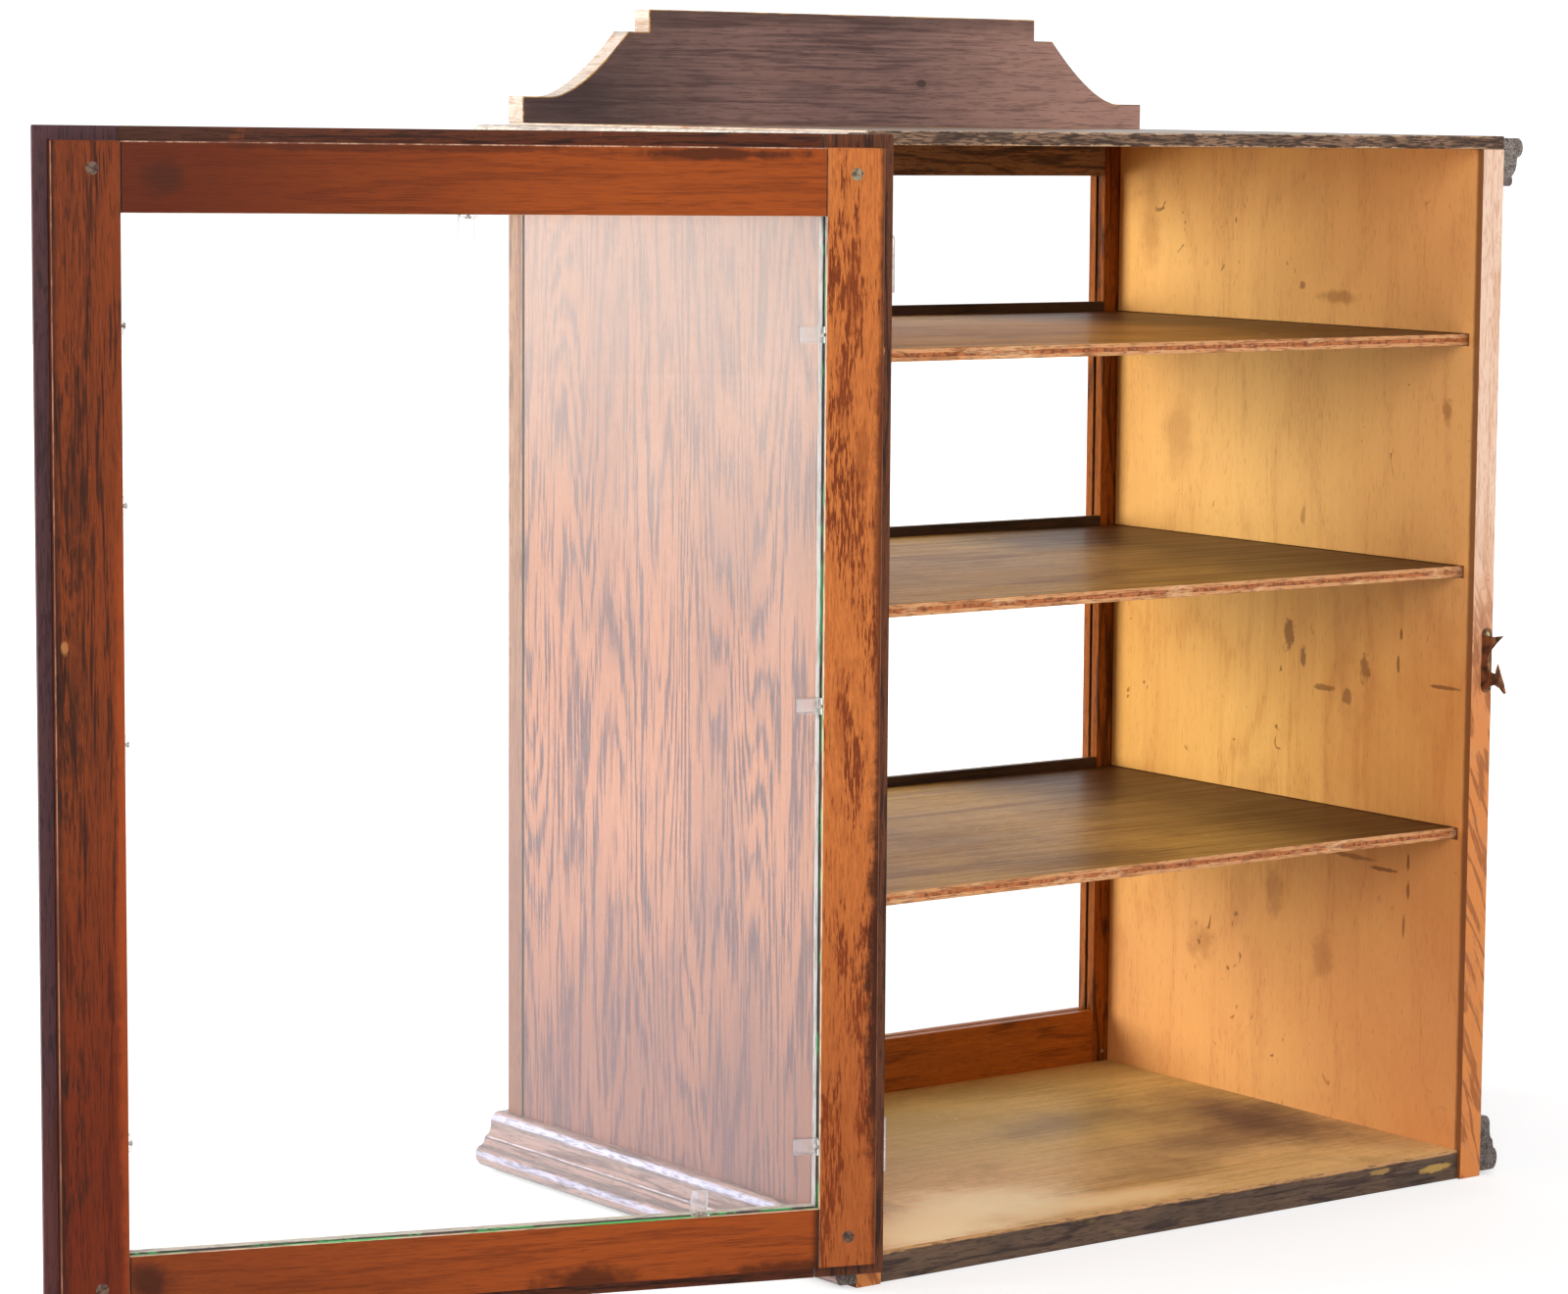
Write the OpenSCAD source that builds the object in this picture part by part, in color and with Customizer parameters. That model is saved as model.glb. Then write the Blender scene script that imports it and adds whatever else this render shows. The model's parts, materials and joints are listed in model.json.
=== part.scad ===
// Countertop display cabinet: a glazed show side at +Y, shelves, and a lipped glazed door at -Y
// that is hinged on the left and stands fully open. Millimetres, +Z up, underside at z = 0.

/* [Case] */
// width over the side panels
case_w = 638; // [580:1:700]
// depth from the door plane to the face of the show window
case_d = 478; // [420:1:540]
// height from the underside to the top board's upper face
case_h = 851; // [830:1:900]
// thickness of the side panels
panel_t = 22.5; // [21:0.5:25]
// thickness of the top board
top_t = 10.5; // [9:0.5:14]
// thickness of the bottom board
bottom_t = 24; // [20:0.5:28]
// how far the bottom board's front edge stands back from the door plane
bottom_set = 3.5; // [2:0.5:6]

/* [Shelves] */
// thickness of the three plywood shelves
shelf_t = 9.5; // [8:0.5:12]
// how far the shelf fronts stand back from the door plane
shelf_set = 19; // [16:0.5:26]
// height of the lower shelf's top face
lower_z = 289.5; // [265:0.5:315]
// height of the middle shelf's top face
middle_z = 504; // [480:0.5:530]
// height of the upper shelf's top face
upper_z = 692; // [670:0.5:710]
// depth of the dadoes that the shelf ends sit in
dado_d = 6.5; // [4:0.5:9]
// how far the dadoes reach ahead of the shelf fronts
dado_lead = 6.5; // [2:0.5:12]
// rise of the ledge strips above the shelf tops
ledge_rise = 8.5; // [5:0.5:12]
// thickness of the ledge strips
ledge_t = 8; // [5:0.5:8.5]

/* [Show window] */
// thickness of the window frame
frame_t = 22; // [20:0.5:26]
// width of the window stiles
stile_w = 39; // [36:0.5:46]
// height of the window's top rail
top_rail_h = 30.5; // [26:0.5:40]
// height of the window's bottom rail, from the underside of the case
bottom_rail_h = 70.5; // [60:0.5:80]
// thickness of the glass panes
pane_t = 3; // [2.5:0.5:4]
// depth of the glass groove in the window frame
groove_d = 6; // [4:0.5:8]

/* [Mouldings and crest] */
// projection of the crown moulding
crown_p = 21; // [18:0.5:22]
// height of the crown moulding
crown_h = 38.5; // [34:0.5:44]
// drop of the crown moulding's top below the top board's face
crown_drop = 1.5; // [1:0.5:4]
// projection of the base moulding
base_p = 19.3; // [16:0.1:21]
// height of the base moulding
base_h = 46; // [40:0.5:54]
// height of the base moulding's underside above the counter
base_z = 4; // [1:0.5:6]
// thickness of the crest board
crest_t = 22; // [18:0.5:26]
// full height of the crest board
crest_h = 92; // [84:1:110]
// height of the crest's shoulders
shoulder_h = 74; // [60:1:80]
// height of the crest's low ends
end_h = 21; // [15:1:30]

/* [Door] */
// angle of the door from closed, as it stands in the rest pose
door_open = 199; // [90:1:204]
// width of the lip around the door's raised inner part
lip_w = 10; // [9:0.5:10.5]
// thickness of the lip
lip_t = 9.5; // [8:0.5:11]
// thickness of the raised inner part
raise_t = 12.5; // [11:0.5:14]
// gap between the raised part and the case opening
door_gap = 2; // [1.5:0.5:3]
// width of the hinge stile, lip included
hinge_stile_w = 53; // [48:0.5:60]
// width of the latch stile, lip included
latch_stile_w = 57; // [52:0.5:64]
// height of the door's top rail, lip included
door_top_h = 58.5; // [50:0.5:66]
// height of the door's bottom rail, lip included
door_bottom_h = 54; // [48:0.5:66]
// depth of the glass groove in the door frame
door_groove_d = 4.5; // [3:0.5:6]
// width of the glass groove in the door frame
door_groove_w = 6; // [5:0.5:7]

/* [Hardware] */
// height of each hinge
hinge_h = 40; // [36:0.5:50]
// distance of the hinge centres from the door's ends
hinge_in = 93.5; // [70:0.5:120]
// outside radius of the hinge knuckles
knuckle_r = 3.2; // [3:0.1:3.6]
// radius of the hinge pins
hinge_pin_r = 1.5; // [1.3:0.1:1.8]
// height of the latch and keeper centre
latch_z = 424; // [400:1:450]
// distance of the latch spindle from the door's free edge
latch_in = 25.5; // [22:0.5:30]

/* [Hidden] */
$fn = 24;
eps = 0.01;
// planes of the case
left = -case_w / 2;
right = case_w / 2;
front = -case_d / 2;
back = case_d / 2;
panel_back = back - frame_t;
panel_h = case_h - top_t;
panel_run = panel_back - front;
inner_w = case_w - 2 * panel_t;
seam = 1;
dado_play = 0.2;
shelf_play = 0.3;
// mouldings: facets in each round, and how far their cutting solids reach past them
round_facets = 8;
cut_over = 10;
// window frame
groove_w = pane_t + 1.5;
groove_y = panel_back + 9;
tenon_w = 12;
window_w = case_w - 2 * stile_w;
window_top = panel_h - top_rail_h;
pane_play = 1;
tenon_edge = 2;
tenon_lo = 12;
tenon_lo_h = bottom_rail_h - groove_d - tenon_edge - tenon_lo;
tenon_hi = window_top + groove_d + tenon_edge;
tenon_hi_down = 6;
tenon_hi_h = panel_h - tenon_hi - tenon_hi_down;
// nails
nail_r = 1.2;
nail_head_r = 2.4;
nail_head_t = 1;
nail_l = 40;
nail_in = 40;
stile_nail_r = 0.9;
stile_nail_l = 8;
stile_nail_head_r = 1.6;
stile_nail_head_t = 0.8;
stile_nail_in = 6;
stile_nail_up = 9;
// door
close_gap = 0.4;
door_l = left + panel_t + door_gap - lip_w;
door_r = right - panel_t - door_gap + lip_w;
door_lo = bottom_t + door_gap - lip_w;
door_hi = panel_h - door_gap + lip_w;
lip_y = front - close_gap;
outer_y = lip_y - lip_t;
inner_y = lip_y + raise_t;
door_t = lip_t + raise_t;
open_l = door_l + hinge_stile_w;
open_r = door_r - latch_stile_w;
open_lo = door_lo + door_bottom_h;
open_hi = door_hi - door_top_h;
door_bevel = 3;
door_tenon_t = 7;
door_tenon_l = 34;
door_tenon_in = 8;
door_pane_play = 0.8;
mortise_play = 0.5;
// small screws, of the clips, the keeper and the latch plate
small_screw_l = 14;
small_screw_r = 1.2;
small_screw_head = 2.6;
// hinges
pin_x = door_l - 2.2;
pin_y = outer_y - knuckle_r;
leaf_t = 1.4;
leaf_w = 12;
leaf_free = 0.5;
pin_head_r = 2.8;
pin_head_top_r = 1.8;
pin_head_t = 1.4;
pin_play = 0.05;
knuckle_gap = 0.25;
wing_in = 1.2;
hinge_zs = [door_lo + hinge_in, door_hi - hinge_in];
knuckles = [0, 0.175, 0.425, 0.575, 0.825, 1];
hinge_screw_z = [-0.36, 0, 0.36];
hinge_screw_l = 14;
hinge_screw_r = 1.1;
hinge_screw_head = 2.5;
wing_screw_x = (left + wing_in + pin_x - knuckle_r + leaf_t) / 2;
leaf_screw_l = lip_t - 0.5;
leaf_screw_x = pin_x + knuckle_r + leaf_free + leaf_w * 0.58;
// corner screws of the door
corner_screw_x = [door_l + 31, door_r - 38];
corner_screw_z = [door_lo + 32, door_hi - 28.5];
corner_screw_l = 18;
corner_screw_r = 1.8;
corner_head_r = 4.5;
// keeper and latch
plate_t = 1.2;
keeper_edge = 1.4;
keeper_w = panel_t + door_gap - lip_w - 3.5;
keeper_h = 52.5;
keeper_root = 1.4;
keeper_screw_z = 20.7;
keeper_x = right - keeper_edge - keeper_w;
flange_x = keeper_x + keeper_root;
keeper_z = latch_z + 3.7;
plate_w = 20;
plate_h = 48;
spindle_r = 3;
spindle_play = 0.05;
spindle_in = 8;
tongue_t = 3;
tongue_h = 8;
tongue_boss_r = 6;
tongue_step = 1.5;
tongue_tip = 2;
plate_play = 0.3;
latch_x = door_r - latch_in;
tongue_y = outer_y - plate_t - plate_play;
tongue_reach = right - latch_x - keeper_edge - keeper_w + keeper_root + plate_t + 1;
knob_y = tongue_y - tongue_t;
knob_collar_r = 5;
knob_collar_l = 7;
knob_out = 12;
knob_r = 13.5;
knob_flat = 0.42;
knob_deep = 0.62;
latch_screw_z = 17;
// crest dowels
dowel_r = 3;
dowel_down = 8;
dowel_up = 14;
dowel_x = 0.36;
// crest outline, from its left end to the middle
crest_flat = 27;
crest_rise = 73;
crest_step = 20;
crest_hollow = 1.6;
crest_facets = 16;
// glass clips, with their places as parts of the opening
clip_w = 12;
clip_l = 18;
clip_t = 1.6;
clip_h = 8;
clip_rib = 1.2;
clip_screw_y = 5.2;
clip_screw_l = 9;
clip_screw_top_r = 1.9;
clip_screw_head_t = 1.4;
clip_left_z = [0.117, 0.488, 0.937];
clip_right_z = [0.106, 0.276, 0.504, 0.89];
clip_bottom_x = 0.178;
clip_top_x = 0.52;
pane_y = lip_y + pane_t;

// box given by its low corner and its size
module block(x, y, z, w, d, h) {
  translate([x, y, z]) cube([w, d, h]);
}

// round bar along y, from y0 to y1
module bar_y(x, y0, y1, z, r) {
  translate([x, y0, z]) rotate([-90, 0, 0]) cylinder(r = r, h = y1 - y0);
}

// countersunk screw pointing to +z, with its head flush at z = 0
module screw(l, r, head_r, slotted) {
  difference() {
    union() {
      cylinder(r1 = head_r, r2 = r, h = head_r - r);
      translate([0, 0, head_r - r - eps]) cylinder(r = r, h = l - head_r + r + eps);
    }
    if (slotted) translate([-head_r, -0.4, -1]) cube([2 * head_r, 0.8, 1.8]);
  }
}

// space that a countersunk screw takes in the wood or the leaf, open at its head
module screw_space(l, r, head_r) {
  screw(l, r, head_r, false);
  translate([0, 0, -1]) cylinder(r = head_r, h = 1 + eps);
}

// the parts inside are drawn closed and swung out to the rest pose about the hinge pins
module swing() {
  translate([pin_x, pin_y, 0]) rotate([0, 0, -door_open]) translate([-pin_x, -pin_y, 0])
    children();
}

// nails through the panels into the bottom board, and down through the top board
module nail(l) {
  cylinder(r = nail_head_r, h = nail_head_t);
  cylinder(r = nail_r, h = l);
}

module nails() {
  for (y = [front + nail_in, (front + panel_back) / 2, panel_back - nail_in]) {
    translate([left, y, bottom_t / 2]) rotate([0, 90, 0]) nail(nail_l);
    translate([right, y, bottom_t / 2]) rotate([0, -90, 0]) nail(nail_l);
    translate([left + panel_t / 2, y, case_h]) rotate([180, 0, 0]) nail(nail_l);
    translate([right - panel_t / 2, y, case_h]) rotate([180, 0, 0]) nail(nail_l);
  }
}

// dadoes for the three shelves, open at the panel's back edge and stopped near its front
module dadoes(x) {
  for (z = [lower_z, middle_z, upper_z])
    block(x, front + shelf_set - dado_lead, z - shelf_t, dado_d + 1, panel_run,
      shelf_t + dado_play);
}

module side_panel_left() {
  color([0.62, 0.36, 0.17]) difference() {
    block(left, front, 0, panel_t, panel_run, panel_h);
    dadoes(left + panel_t - dado_d);
    translate([left, panel_back, -1]) rotate([0, 0, 45]) translate([-seam, -seam, 0])
      cube([2 * seam, 2 * seam, panel_h + 2]);
    nails();
    wing_screw_spaces();
  }
}

module side_panel_right() {
  color([0.62, 0.36, 0.17]) difference() {
    block(right - panel_t, front, 0, panel_t, panel_run, panel_h);
    dadoes(right - panel_t - 1);
    translate([right, panel_back, -1]) rotate([0, 0, 45]) translate([-seam, -seam, 0])
      cube([2 * seam, 2 * seam, panel_h + 2]);
    nails();
    keeper_screw_spaces();
  }
}

module top_board() {
  color([0.33, 0.27, 0.22]) difference() {
    block(left, front, panel_h, case_w, case_d, top_t);
    nails();
    dowels();
  }
}

module bottom_board() {
  color([0.40, 0.33, 0.24]) difference() {
    block(left + panel_t, front + bottom_set, 0, inner_w, panel_run - bottom_set, bottom_t);
    nails();
  }
}

module shelf(z) {
  color([0.45, 0.34, 0.22])
    block(left + panel_t - dado_d + shelf_play, front + shelf_set, z - shelf_t,
      inner_w + 2 * (dado_d - shelf_play), panel_run - shelf_set, shelf_t);
}

// ledge strip behind a shelf, between the window stiles
module ledge(z) {
  color([0.28, 0.13, 0.06])
    block(left + stile_w, panel_back, z - shelf_t, window_w, ledge_t, shelf_t + ledge_rise);
}

module shelf_upper() {
  shelf(upper_z);
}

module shelf_middle() {
  shelf(middle_z);
}

module shelf_lower() {
  shelf(lower_z);
}

module ledge_upper() {
  ledge(upper_z);
}

module ledge_middle() {
  ledge(middle_z);
}

module ledge_lower() {
  ledge(lower_z);
}

// window stile with a glass groove and two mortises along its inner edge at x = 0
module window_stile() {
  difference() {
    block(-stile_w, panel_back, 0, stile_w, frame_t, panel_h);
    block(-groove_d, groove_y, bottom_rail_h - groove_d, groove_d + 1, groove_w,
      window_top - bottom_rail_h + 2 * groove_d);
    block(-tenon_w, groove_y, tenon_lo, tenon_w + 1, groove_w, tenon_lo_h);
    block(-tenon_w, groove_y, tenon_hi, tenon_w + 1, groove_w, tenon_hi_h);
    translate([-stile_w, panel_back, -1]) rotate([0, 0, 45]) translate([-seam, -seam, 0])
      cube([2 * seam, 2 * seam, panel_h + 2]);
  }
}

module window_stile_left() {
  color([0.52, 0.27, 0.12]) difference() {
    translate([left + stile_w, 0, 0]) window_stile();
    stile_nails();
  }
}

module window_stile_right() {
  color([0.52, 0.27, 0.12]) difference() {
    translate([right - stile_w, 0, 0]) mirror([1, 0, 0]) window_stile();
    stile_nails();
  }
}

module window_top_rail() {
  color([0.30, 0.16, 0.09]) difference() {
    union() {
      block(left + stile_w, panel_back, window_top, window_w, frame_t, top_rail_h);
      block(left + stile_w - tenon_w, groove_y, tenon_hi, window_w + 2 * tenon_w,
        groove_w, tenon_hi_h);
    }
    block(left + stile_w, groove_y, window_top - 1, window_w, groove_w, groove_d + 1);
    dowels();
  }
}

module window_bottom_rail() {
  color([0.36, 0.17, 0.08]) difference() {
    union() {
      block(left + stile_w, panel_back, 0, window_w, frame_t, bottom_rail_h);
      block(left + stile_w - tenon_w, groove_y, tenon_lo, window_w + 2 * tenon_w,
        groove_w, tenon_lo_h);
    }
    block(left + stile_w, groove_y, bottom_rail_h - groove_d, window_w, groove_w,
      groove_d + 1);
  }
}

module window_glass() {
  color([0.80, 0.88, 0.86, 0.35])
    block(left + stile_w - groove_d + pane_play, groove_y + groove_w - pane_t,
      bottom_rail_h - groove_d, window_w + 2 * (groove_d - pane_play), pane_t,
      window_top - bottom_rail_h + 2 * groove_d - pane_play);
}

// left half of the crest outline, above the top board
function crest_half() = concat(
  [[left, 0], [left, end_h], [left + crest_flat, end_h]],
  [for (i = [1 : crest_facets - 1]) [left + crest_flat + crest_rise * i / crest_facets,
    end_h + (shoulder_h - end_h) * pow(i / crest_facets, crest_hollow)]],
  [[left + crest_flat + crest_rise, shoulder_h],
    [left + crest_flat + crest_rise + crest_step, shoulder_h],
    [left + crest_flat + crest_rise + crest_step, crest_h]]);

module crest_board() {
  half = crest_half();
  color([0.24, 0.13, 0.09]) difference() {
    translate([0, back, case_h]) rotate([90, 0, 0]) linear_extrude(height = crest_t)
      polygon(concat(half, [for (i = [len(half) - 1 : -1 : 0]) [-half[i][0], half[i][1]]]));
    dowels();
  }
}

// three dowels through the top board, between the crest and the window's top rail
module dowels() {
  for (k = [-dowel_x, 0, dowel_x])
    translate([k * case_w, back - crest_t / 2, panel_h - dowel_down])
      cylinder(r = dowel_r, h = top_t + dowel_down + dowel_up);
}

module crest_dowels() {
  color([0.72, 0.58, 0.38]) dowels();
}

// round or hollow of a moulding, about a centre, from one angle to another
function sweep(centre, radii, from, to) = [for (i = [0 : round_facets])
  let (a = from + (to - from) * i / round_facets)
    [centre[0] + radii[0] * cos(a), centre[1] + radii[1] * sin(a)]];

// crown profile as parts of its projection and height: bead, swelling slope and round nose
function crown_profile() = concat([[0, 0]],
  sweep([0.30, 0.115], [0.165, 0.115], -90, 30),
  sweep([0.36, 0.54], [0.325, 0.33], -80, 0),
  sweep([0.70, 0.795], [0.30, 0.205], -90, 90),
  [[0, 1]]);

// base profile as parts of its projection and height: fat round, two hollows and a shoulder
function base_profile() = concat([[0, 0]],
  sweep([0.70, 0.20], [0.30, 0.20], -90, 54),
  sweep([0.86, 0.52], [0.145, 0.15], 270, 180),
  sweep([0.66, 0.80], [0.14, 0.235], 270, 180),
  sweep([0.24, 0.82], [0.28, 0.18], 0, 90),
  [[0, 1]]);

function scaled(profile, p, h) = [for (q = profile) [q[0] * p, q[1] * h]];
function flipped(profile) = [for (i = [len(profile) - 1 : -1 : 0])
  [-profile[i][0], profile[i][1]]];

// moulding on the left side, mitred at its far end, with its profile given
module left_moulding(profile, p, z) {
  intersection() {
    translate([left, back + p, z]) rotate([90, 0, 0])
      linear_extrude(height = case_d + p) polygon(flipped(profile));
    linear_extrude(height = case_h + cut_over) polygon([[left, front], [left, back],
      [left - p - 1, back + p + 1], [left - p - 1, front]]);
  }
}

// moulding under the window side, mitred at both ends
module window_moulding(profile, p, z) {
  intersection() {
    translate([left - p, back, z]) rotate([90, 0, 90])
      linear_extrude(height = case_w + 2 * p) polygon(profile);
    linear_extrude(height = case_h + cut_over) polygon([[left, back], [right, back],
      [right + p + 1, back + p + 1], [left - p - 1, back + p + 1]]);
  }
}

crown_z = case_h - crown_drop - crown_h;

module crown_left() {
  color([0.50, 0.28, 0.15])
    left_moulding(scaled(crown_profile(), crown_p, crown_h), crown_p, crown_z);
}

module crown_right() {
  color([0.50, 0.28, 0.15]) mirror([1, 0, 0])
    left_moulding(scaled(crown_profile(), crown_p, crown_h), crown_p, crown_z);
}

module crown_window() {
  color([0.50, 0.28, 0.15])
    window_moulding(scaled(crown_profile(), crown_p, crown_h), crown_p, crown_z);
}

module base_left() {
  color([0.50, 0.28, 0.15])
    left_moulding(scaled(base_profile(), base_p, base_h), base_p, base_z);
}

module base_right() {
  color([0.50, 0.28, 0.15]) mirror([1, 0, 0])
    left_moulding(scaled(base_profile(), base_p, base_h), base_p, base_z);
}

module base_window() {
  color([0.50, 0.28, 0.15])
    window_moulding(scaled(base_profile(), base_p, base_h), base_p, base_z);
}

module case_nails() {
  color([0.45, 0.44, 0.43]) nails();
}

// one small nail near the foot of each window stile, its head standing proud inside
module stile_nails() {
  for (x = [left + panel_t + stile_nail_in, right - panel_t - stile_nail_in])
    translate([x, panel_back - stile_nail_head_t, bottom_t + stile_nail_up])
      rotate([-90, 0, 0]) {
        cylinder(r = stile_nail_head_r, h = stile_nail_head_t);
        cylinder(r = stile_nail_r, h = stile_nail_l);
      }
}

module window_nails() {
  color([0.72, 0.70, 0.68]) stile_nails();
}

module keeper_screw_spaces() {
  for (s = [-1, 1])
    translate([keeper_x + keeper_w / 2, front - plate_t, keeper_z + s * keeper_screw_z])
      rotate([-90, 0, 0]) screw_space(small_screw_l, small_screw_r, small_screw_head);
}

module keeper_screws() {
  color([0.70, 0.66, 0.58])
    for (s = [-1, 1])
      translate([keeper_x + keeper_w / 2, front - plate_t, keeper_z + s * keeper_screw_z])
        rotate([-90, 0, 0]) rotate([0, 0, 35 * s]) screw(small_screw_l, small_screw_r,
          small_screw_head, true);
}

// keeper: an oval plate and a flange with two horns around a notch for the latch tongue
module keeper() {
  color([0.30, 0.20, 0.13]) difference() {
    union() {
      block(keeper_x, front - plate_t, keeper_z - keeper_h / 2 + keeper_w / 2, keeper_w,
        plate_t, keeper_h - keeper_w);
      for (s = [-1, 1])
        bar_y(keeper_x + keeper_w / 2, front - plate_t, front,
          keeper_z + s * (keeper_h - keeper_w) / 2, keeper_w / 2);
      translate([flange_x, front, latch_z]) rotate([90, 0, 90])
        linear_extrude(height = plate_t) polygon([[-0.5, 18], [-0.5, 25], [-4, 24.4],
          [-12, 24.3], [-23.5, 26], [-16, 19.5], [-9, 12.5], [-6.5, 7], [-6, 3], [-7, -1.5],
          [-10, -4.9], [-15.1, -5.4], [-15.6, -2], [-17.6, 3], [-20.5, -3.5], [-24.3, -11.5],
          [-27.5, -20], [-25.5, -21.3], [-20, -17], [-14, -15], [-9, -16.5], [-5, -19.5],
          [-0.5, -20.5]]);
    }
    keeper_screw_spaces();
  }
}

// hinge leaf on the panel's front edge: a wing, a web along the lip, and three knuckles
module case_leaf(z) {
  color([0.74, 0.72, 0.69]) difference() {
    union() {
      block(left + wing_in, front - leaf_t, z - hinge_h / 2,
        pin_x - knuckle_r + leaf_t - left - wing_in, leaf_t, hinge_h);
      block(pin_x - knuckle_r, pin_y + knuckle_r + leaf_free, z - hinge_h / 2, leaf_t,
        front - pin_y - knuckle_r - leaf_free, hinge_h);
      for (i = [0, 2, 4]) {
        block(pin_x - knuckle_r, pin_y, z - hinge_h / 2 + knuckles[i] * hinge_h, leaf_t,
          front - pin_y, (knuckles[i + 1] - knuckles[i]) * hinge_h - knuckle_gap);
        translate([pin_x, pin_y, z - hinge_h / 2 + knuckles[i] * hinge_h])
          cylinder(r = knuckle_r,
            h = (knuckles[i + 1] - knuckles[i]) * hinge_h - knuckle_gap);
      }
    }
    translate([pin_x, pin_y, z - hinge_h]) cylinder(r = hinge_pin_r + pin_play,
      h = 2 * hinge_h);
    wing_screw_spaces();
  }
}

module wing_screw_spaces() {
  for (z = hinge_zs)
    for (k = hinge_screw_z)
      translate([wing_screw_x, front - leaf_t, z + k * hinge_h]) rotate([-90, 0, 0])
        screw_space(hinge_screw_l, hinge_screw_r, hinge_screw_head);
}

module case_hinge_screws() {
  color([0.66, 0.63, 0.58])
    for (z = hinge_zs)
      for (k = hinge_screw_z)
        translate([wing_screw_x, front - leaf_t, z + k * hinge_h]) rotate([-90, 0, 0])
          rotate([0, 0, 90 * k]) screw(hinge_screw_l, hinge_screw_r, hinge_screw_head, true);
}

// hinge leaf on the door's outer face, with two knuckles between those of the case leaf
module door_leaf(z) {
  color([0.74, 0.72, 0.69]) difference() {
    union() {
      block(pin_x + knuckle_r + leaf_free, outer_y - leaf_t, z - hinge_h / 2, leaf_w,
        leaf_t, hinge_h - knuckle_gap);
      for (i = [1, 3]) {
        block(pin_x, outer_y - leaf_t, z - hinge_h / 2 + knuckles[i] * hinge_h,
          knuckle_r + leaf_free + 1, leaf_t,
          (knuckles[i + 1] - knuckles[i]) * hinge_h - knuckle_gap);
        translate([pin_x, pin_y, z - hinge_h / 2 + knuckles[i] * hinge_h])
          cylinder(r = knuckle_r,
            h = (knuckles[i + 1] - knuckles[i]) * hinge_h - knuckle_gap);
      }
    }
    translate([pin_x, pin_y, z - hinge_h]) cylinder(r = hinge_pin_r + pin_play,
      h = 2 * hinge_h);
    leaf_screw_spaces();
  }
}

module leaf_screw_spaces() {
  for (z = hinge_zs)
    for (k = hinge_screw_z)
      translate([leaf_screw_x, outer_y - leaf_t, z + k * hinge_h]) rotate([-90, 0, 0])
        screw_space(leaf_screw_l, hinge_screw_r, hinge_screw_head);
}

module door_hinge_screws() {
  color([0.66, 0.63, 0.58]) swing()
    for (z = hinge_zs)
      for (k = hinge_screw_z)
        translate([leaf_screw_x, outer_y - leaf_t, z + k * hinge_h]) rotate([-90, 0, 0])
          rotate([0, 0, 70 * k]) screw(leaf_screw_l, hinge_screw_r, hinge_screw_head, true);
}

// hinge pin with a button head resting on the top knuckle
module hinge_pin(z) {
  color([0.60, 0.58, 0.55]) translate([pin_x, pin_y, z - hinge_h / 2]) {
    cylinder(r = hinge_pin_r, h = hinge_h - knuckle_gap);
    translate([0, 0, hinge_h - knuckle_gap]) cylinder(r1 = pin_head_r, r2 = pin_head_top_r,
      h = pin_head_t);
  }
}

module upper_hinge_case_leaf() {
  case_leaf(hinge_zs[1]);
}

module lower_hinge_case_leaf() {
  case_leaf(hinge_zs[0]);
}

module upper_hinge_pin() {
  hinge_pin(hinge_zs[1]);
}

module lower_hinge_pin() {
  hinge_pin(hinge_zs[0]);
}

module upper_hinge_door_leaf() {
  swing() door_leaf(hinge_zs[1]);
}

module lower_hinge_door_leaf() {
  swing() door_leaf(hinge_zs[0]);
}

// whole door blank: the lip with bevelled outer edges, and the raised inner part
module door_blank() {
  hull() {
    block(door_l + door_bevel, outer_y, door_lo + door_bevel,
      door_r - door_l - 2 * door_bevel, 1, door_hi - door_lo - 2 * door_bevel);
    block(door_l, outer_y + door_bevel, door_lo, door_r - door_l, lip_t - door_bevel,
      door_hi - door_lo);
  }
  block(door_l + lip_w, lip_y - eps, door_lo + lip_w, door_r - door_l - 2 * lip_w,
    raise_t + eps, door_hi - door_lo - 2 * lip_w);
}

// tenons of both door rails, with the given play in their mortises
module door_tenons(play) {
  x0 = open_l - door_tenon_l - play;
  w = open_r - open_l + 2 * (door_tenon_l + play);
  y0 = lip_y - door_tenon_t / 2;
  block(x0, y0, door_lo + lip_w + door_tenon_in, w, door_tenon_t,
    door_bottom_h - lip_w - 2 * door_tenon_in);
  block(x0, y0, open_hi + door_tenon_in, w, door_tenon_t,
    door_top_h - lip_w - 2 * door_tenon_in);
}

module corner_screw_spaces() {
  for (x = corner_screw_x)
    for (z = corner_screw_z)
      translate([x, inner_y, z]) rotate([90, 0, 0]) screw_space(corner_screw_l, corner_screw_r,
        corner_head_r);
}

module door_hinge_stile() {
  color([0.55, 0.27, 0.11]) swing() difference() {
    intersection() {
      door_blank();
      block(door_l, outer_y, door_lo, hinge_stile_w, door_t, door_hi - door_lo);
    }
    door_tenons(mortise_play);
    glass_groove();
    corner_screw_spaces();
    leaf_screw_spaces();
    clip_screw_set();
  }
}

module door_latch_stile() {
  color([0.48, 0.22, 0.10]) swing() difference() {
    intersection() {
      door_blank();
      block(open_r, outer_y, door_lo, latch_stile_w, door_t, door_hi - door_lo);
    }
    door_tenons(mortise_play);
    glass_groove();
    corner_screw_spaces();
    latch_screw_spaces();
    clip_screw_set();
    bar_y(latch_x, outer_y - 1, outer_y + spindle_in + 0.5, latch_z,
      spindle_r + spindle_play);
  }
}

// groove around the opening, for the pane
module glass_groove() {
  block(open_l - door_groove_d, lip_y, open_lo - door_groove_d,
    open_r - open_l + 2 * door_groove_d, door_groove_w,
    open_hi - open_lo + 2 * door_groove_d);
}

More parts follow.
